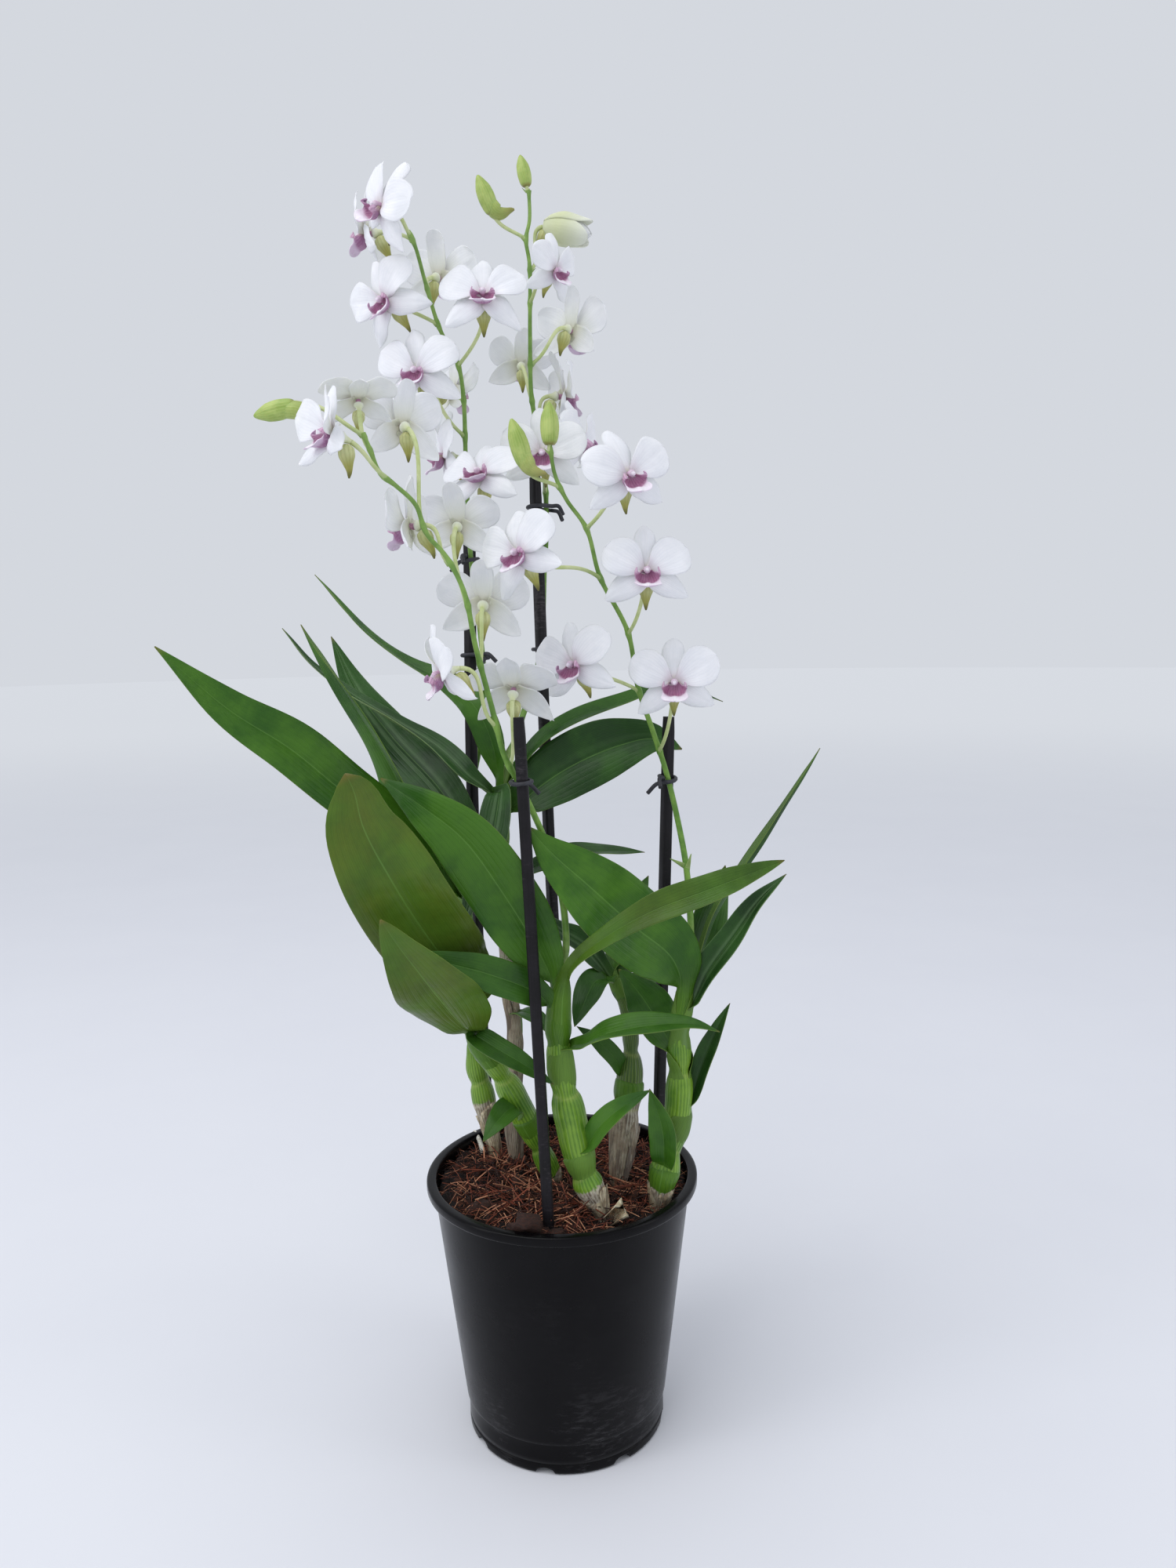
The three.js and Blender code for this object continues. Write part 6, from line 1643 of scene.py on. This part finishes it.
mauve = coats(tree, inside,
              (mark(tree, "under"), 1, outside),
              (fleck, 1, (226, 200, 226)),
              (times(tree, veins["Mask"], off_tongue), 0.3, (132, 56, 112)),
              (mark(tree, "green"), mark(tree, "under"), (150, 150, 84)))
feed(tree, shader, Base_Color=mauve, Roughness=between(tree, fleck, 0, 0.22, 0.4, 0.55),
     Normal=bump(tree, veins["Mask"], 0.3, 0.0004))

# %% Spur finish
spur_finish, tree, shader = new_finish("spur_olive", Specular_IOR_Level=0.3, Subsurface_Weight=0.1,
                                       Subsurface_Scale=0.002)
veins = veined(tree, 12.0, 0.05, 2.0)
base = mottled(tree, place_of(tree), (206, 210, 158), (190, 192, 132), 120.0)
ripe = mark(tree, "ripe")
colour = coats(tree, base["Color"],
               (between(tree, ripe, 0.15, 0.75), 1, (162, 160, 84)),
               (between(tree, ripe, 0.75, 1.0), 1, (98, 96, 48)),
               (veins["Mask"], 0.25, (128, 132, 62)))
feed(tree, shader, Base_Color=colour, Roughness=between(tree, base["Mask"], 0, 1, 0.42, 0.55),
     Normal=bump(tree, veins["Mask"], 0.25, 0.0003))

# %% Open the blooms
GREENER = {"bloom_c2": 0.1, "bloom_b7": 0.1}
CUPPED = {"bloom_c1": math.radians(26)}
HALF_OPEN = "bloom_b1"
BLOOM_SEED = 500
poses = [item for plan in SPRAYS.values() for item in plan["blooms"].items()]
for count, (name, pose) in enumerate(poses, 1):
    rng = random.Random(BLOOM_SEED + count)
    place = Placed(pose)
    skin = Skin("green", "mauve", "deep", "rim", "tongue", "ripe", "under")
    if name == HALF_OPEN:
        half_open(skin, place, rng)
    else:
        for bearing, kind in TEPALS:
            tepal(skin, place, bearing, kind, rng, GREENER.get(name, 0.0), CUPPED.get(name, 0.0))
        lip(skin, place, rng)
        heart(skin, place)
    stalk_end(skin, place)
    settle(skin.piece(name + "_open", [petal_finish, lip_finish, spur_finish]), name)

# %% [markdown]
# ## Flower stems and buds
#
# The flower stem leaves the top of its cane, climbs and leans, and carries a pedicel for each
# bloom, with a small bract at its foot. The stem thickens a little where each one leaves. Stems and
# pedicels are strands for the stem tree. The buds at the tip are closed tepals: a pointed body with
# three soft seams and the spur already showing.


# %% Pedicels and buds
PEDICEL_ROWS = 18


def bezier(start, first, second, end, count):
    t = np.linspace(0, 1, count)[:, None]
    return start * (1 - t) ** 3 + first * 3 * t * (1 - t) ** 2 + second * 3 * t ** 2 * (1 - t) + end * t ** 3


def pedicel(strands, start, end, arrival):
    """Leaves the stem outwards and upwards, and reaches its bloom from behind."""
    outward = end - start
    length = np.linalg.norm(outward)
    leave = unit(unit(outward * [1, 1, 0]) + [0, 0, 0.55])
    line = bezier(start, start + leave * length * 0.45, end - arrival * length * 0.4, end, PEDICEL_ROWS)
    stops = np.linspace(0, 1, PEDICEL_ROWS)
    strands.add(line, eased([[0, 1.15], [0.1, 0.9], [0.6, 0.92], [1, 1.1]], stops),
                eased([[0, 0.45], [0.25, 0.85], [1, 1]], stops))
    strands.add_bract(start + leave * 1.2 - [0, 0, 1.4], unit(leave + [0, 0, 0.3]), 1.5)


def bud(skin, shape, sides=30):
    """A closed bud: three sepals that meet at soft seams, over a curved spur at its foot."""
    base, tip = np.array(shape["base"], float), np.array(shape["tip"], float)
    v = np.linspace(0, 1, 36)
    turns = full_circle(sides)[None]
    girth = eased([[0, 2.1], [0.06, 3.1], [0.2, 3.9], [0.42, 4.3], [0.64, 3.9],
                   [0.82, 2.6], [0.95, 1.3], [1, 0.5]], v)
    girth = girth * min(1.05, np.linalg.norm(tip - base) / 18.5)
    seam = np.exp(-((((turns / (2 * np.pi) * 3) % 1) - 0.5) / 0.09) ** 2)
    ribs = 1 - 0.08 * seam * np.sin(np.pi * v)[:, None]
    skin.tube(points_at(np.array([base, tip]), v), girth[:, None] * ribs, sides,
              ripe=v[:, None] ** 2, collar=np.exp(-(v / 0.06) ** 2)[:, None], seam=seam)
    if "spur" in shape:
        end = np.array(shape["spur"], float)
        start = base + (tip - base) * 0.34
        sag = base + (end - base) * 0.3 + unit(base - tip) * 0.2
        hook = end + (end - base) * 0.18
        stops = np.linspace(0, 1, 26)
        thick = eased([[0, 3.6], [0.35, 3.9], [0.6, 2.9], [0.82, 1.6], [0.94, 1.0], [1, 0.5]], stops)
        skin.tube(even_line([start, sag, end, hook], len(stops)), thick, 20,
                  collar=eased([[0, 0], [0.45, 0.3], [1, 0.95]], stops)[:, None])


# %% Stem and bud finishes
stem_finish, tree, shader = new_finish("flower_stem_green", Specular_IOR_Level=0.4)
place = place_of(tree)
green = mottled(tree, place, (118, 158, 62), (84, 128, 42), 120.0)
pale = mottled(tree, place, (214, 220, 168), (192, 204, 138), 120.0)
colour = mix(tree, mark(tree, "pale"), green["Color"], pale["Color"])
fine = noise(tree, place_of(tree, (1, 1, 0.15)), 1500.0, 2.0)
feed(tree, shader, Base_Color=colour, Roughness=between(tree, fine, 0.3, 0.7, 0.38, 0.5),
     Normal=bump(tree, fine, 0.2, 0.0003))

bud_finish, tree, shader = new_finish("bud_lime", Specular_IOR_Level=0.4, Subsurface_Weight=0.1,
                                      Subsurface_Scale=0.002)
place = place_of(tree)
veins = veined(tree, 21.0, 0.03, 2.0)
base = mottled(tree, place, (184, 200, 118), (152, 176, 88), 130.0)
colour = coats(tree, base["Color"],
               (mark(tree, "ripe"), 0.4, (140, 164, 70)),
               (mark(tree, "seam"), 0.4, (128, 156, 62)),
               (veins["Mask"], 0.2, (206, 220, 134)),
               (mark(tree, "collar"), 0.75, (136, 116, 66)))
feed(tree, shader, Base_Color=colour, Roughness=between(tree, base["Mask"], 0, 1, 0.36, 0.5),
     Normal=bump(tree, veins["Mask"], 0.25, 0.0003))

# %% Grow the sprays
SPRAY_ROWS, BRACT_SIZE = 150, 4.4
thick, thin = 0.94 * STEM_FOOT, 0.8 * STEM_TIP  # a little slimmer, to leave room for the swellings
for name, plan in SPRAYS.items():
    strands = Strands()
    points = spray_points(plan)
    stops = np.linspace(0, 1, SPRAY_ROWS)
    line = even_line(points, SPRAY_ROWS)
    girth = thick + (thin - thick) * stops ** 0.8
    leaving = [pose.stalk for pose in plan["blooms"].values()] + [shape["from"] for shape in plan["buds"]]
    for level in leaving:
        girth = girth + 0.45 * np.exp(-((line[:, 2] - level) / 1.8) ** 2)
    strands.add(line, girth, eased([[0, 0.25], [0.15, 0.0], [1, 0.15]], stops))
    for pose in plan["blooms"].values():
        place = Placed(pose)
        end, behind = place(OVARY_END), place(OVARY_SIDE)
        arrival = unit(end - behind)
        pedicel(strands, at_height(points, pose.stalk), end - arrival * SEAT_GAP, arrival)
    for level, way in plan.get("bracts", []):
        strands.add_bract(at_height(points, level), unit(way), BRACT_SIZE)
    skin = Skin("ripe", "seam", "collar")
    for shape in plan["buds"]:
        base, tip = np.array(shape["base"], float), np.array(shape["tip"], float)
        arrival = unit(tip - base)
        pedicel(strands, at_height(points, shape["from"]), base + arrival, arrival)
        bud(skin, shape)
    made = grown(name + "_stem", strands.mesh(name), STEMS, {"Sides": 12, "Finish": stem_finish})
    settle(made, name)
    if plan["buds"]:
        settle(skin.piece(name + "_buds", [bud_finish]), name)
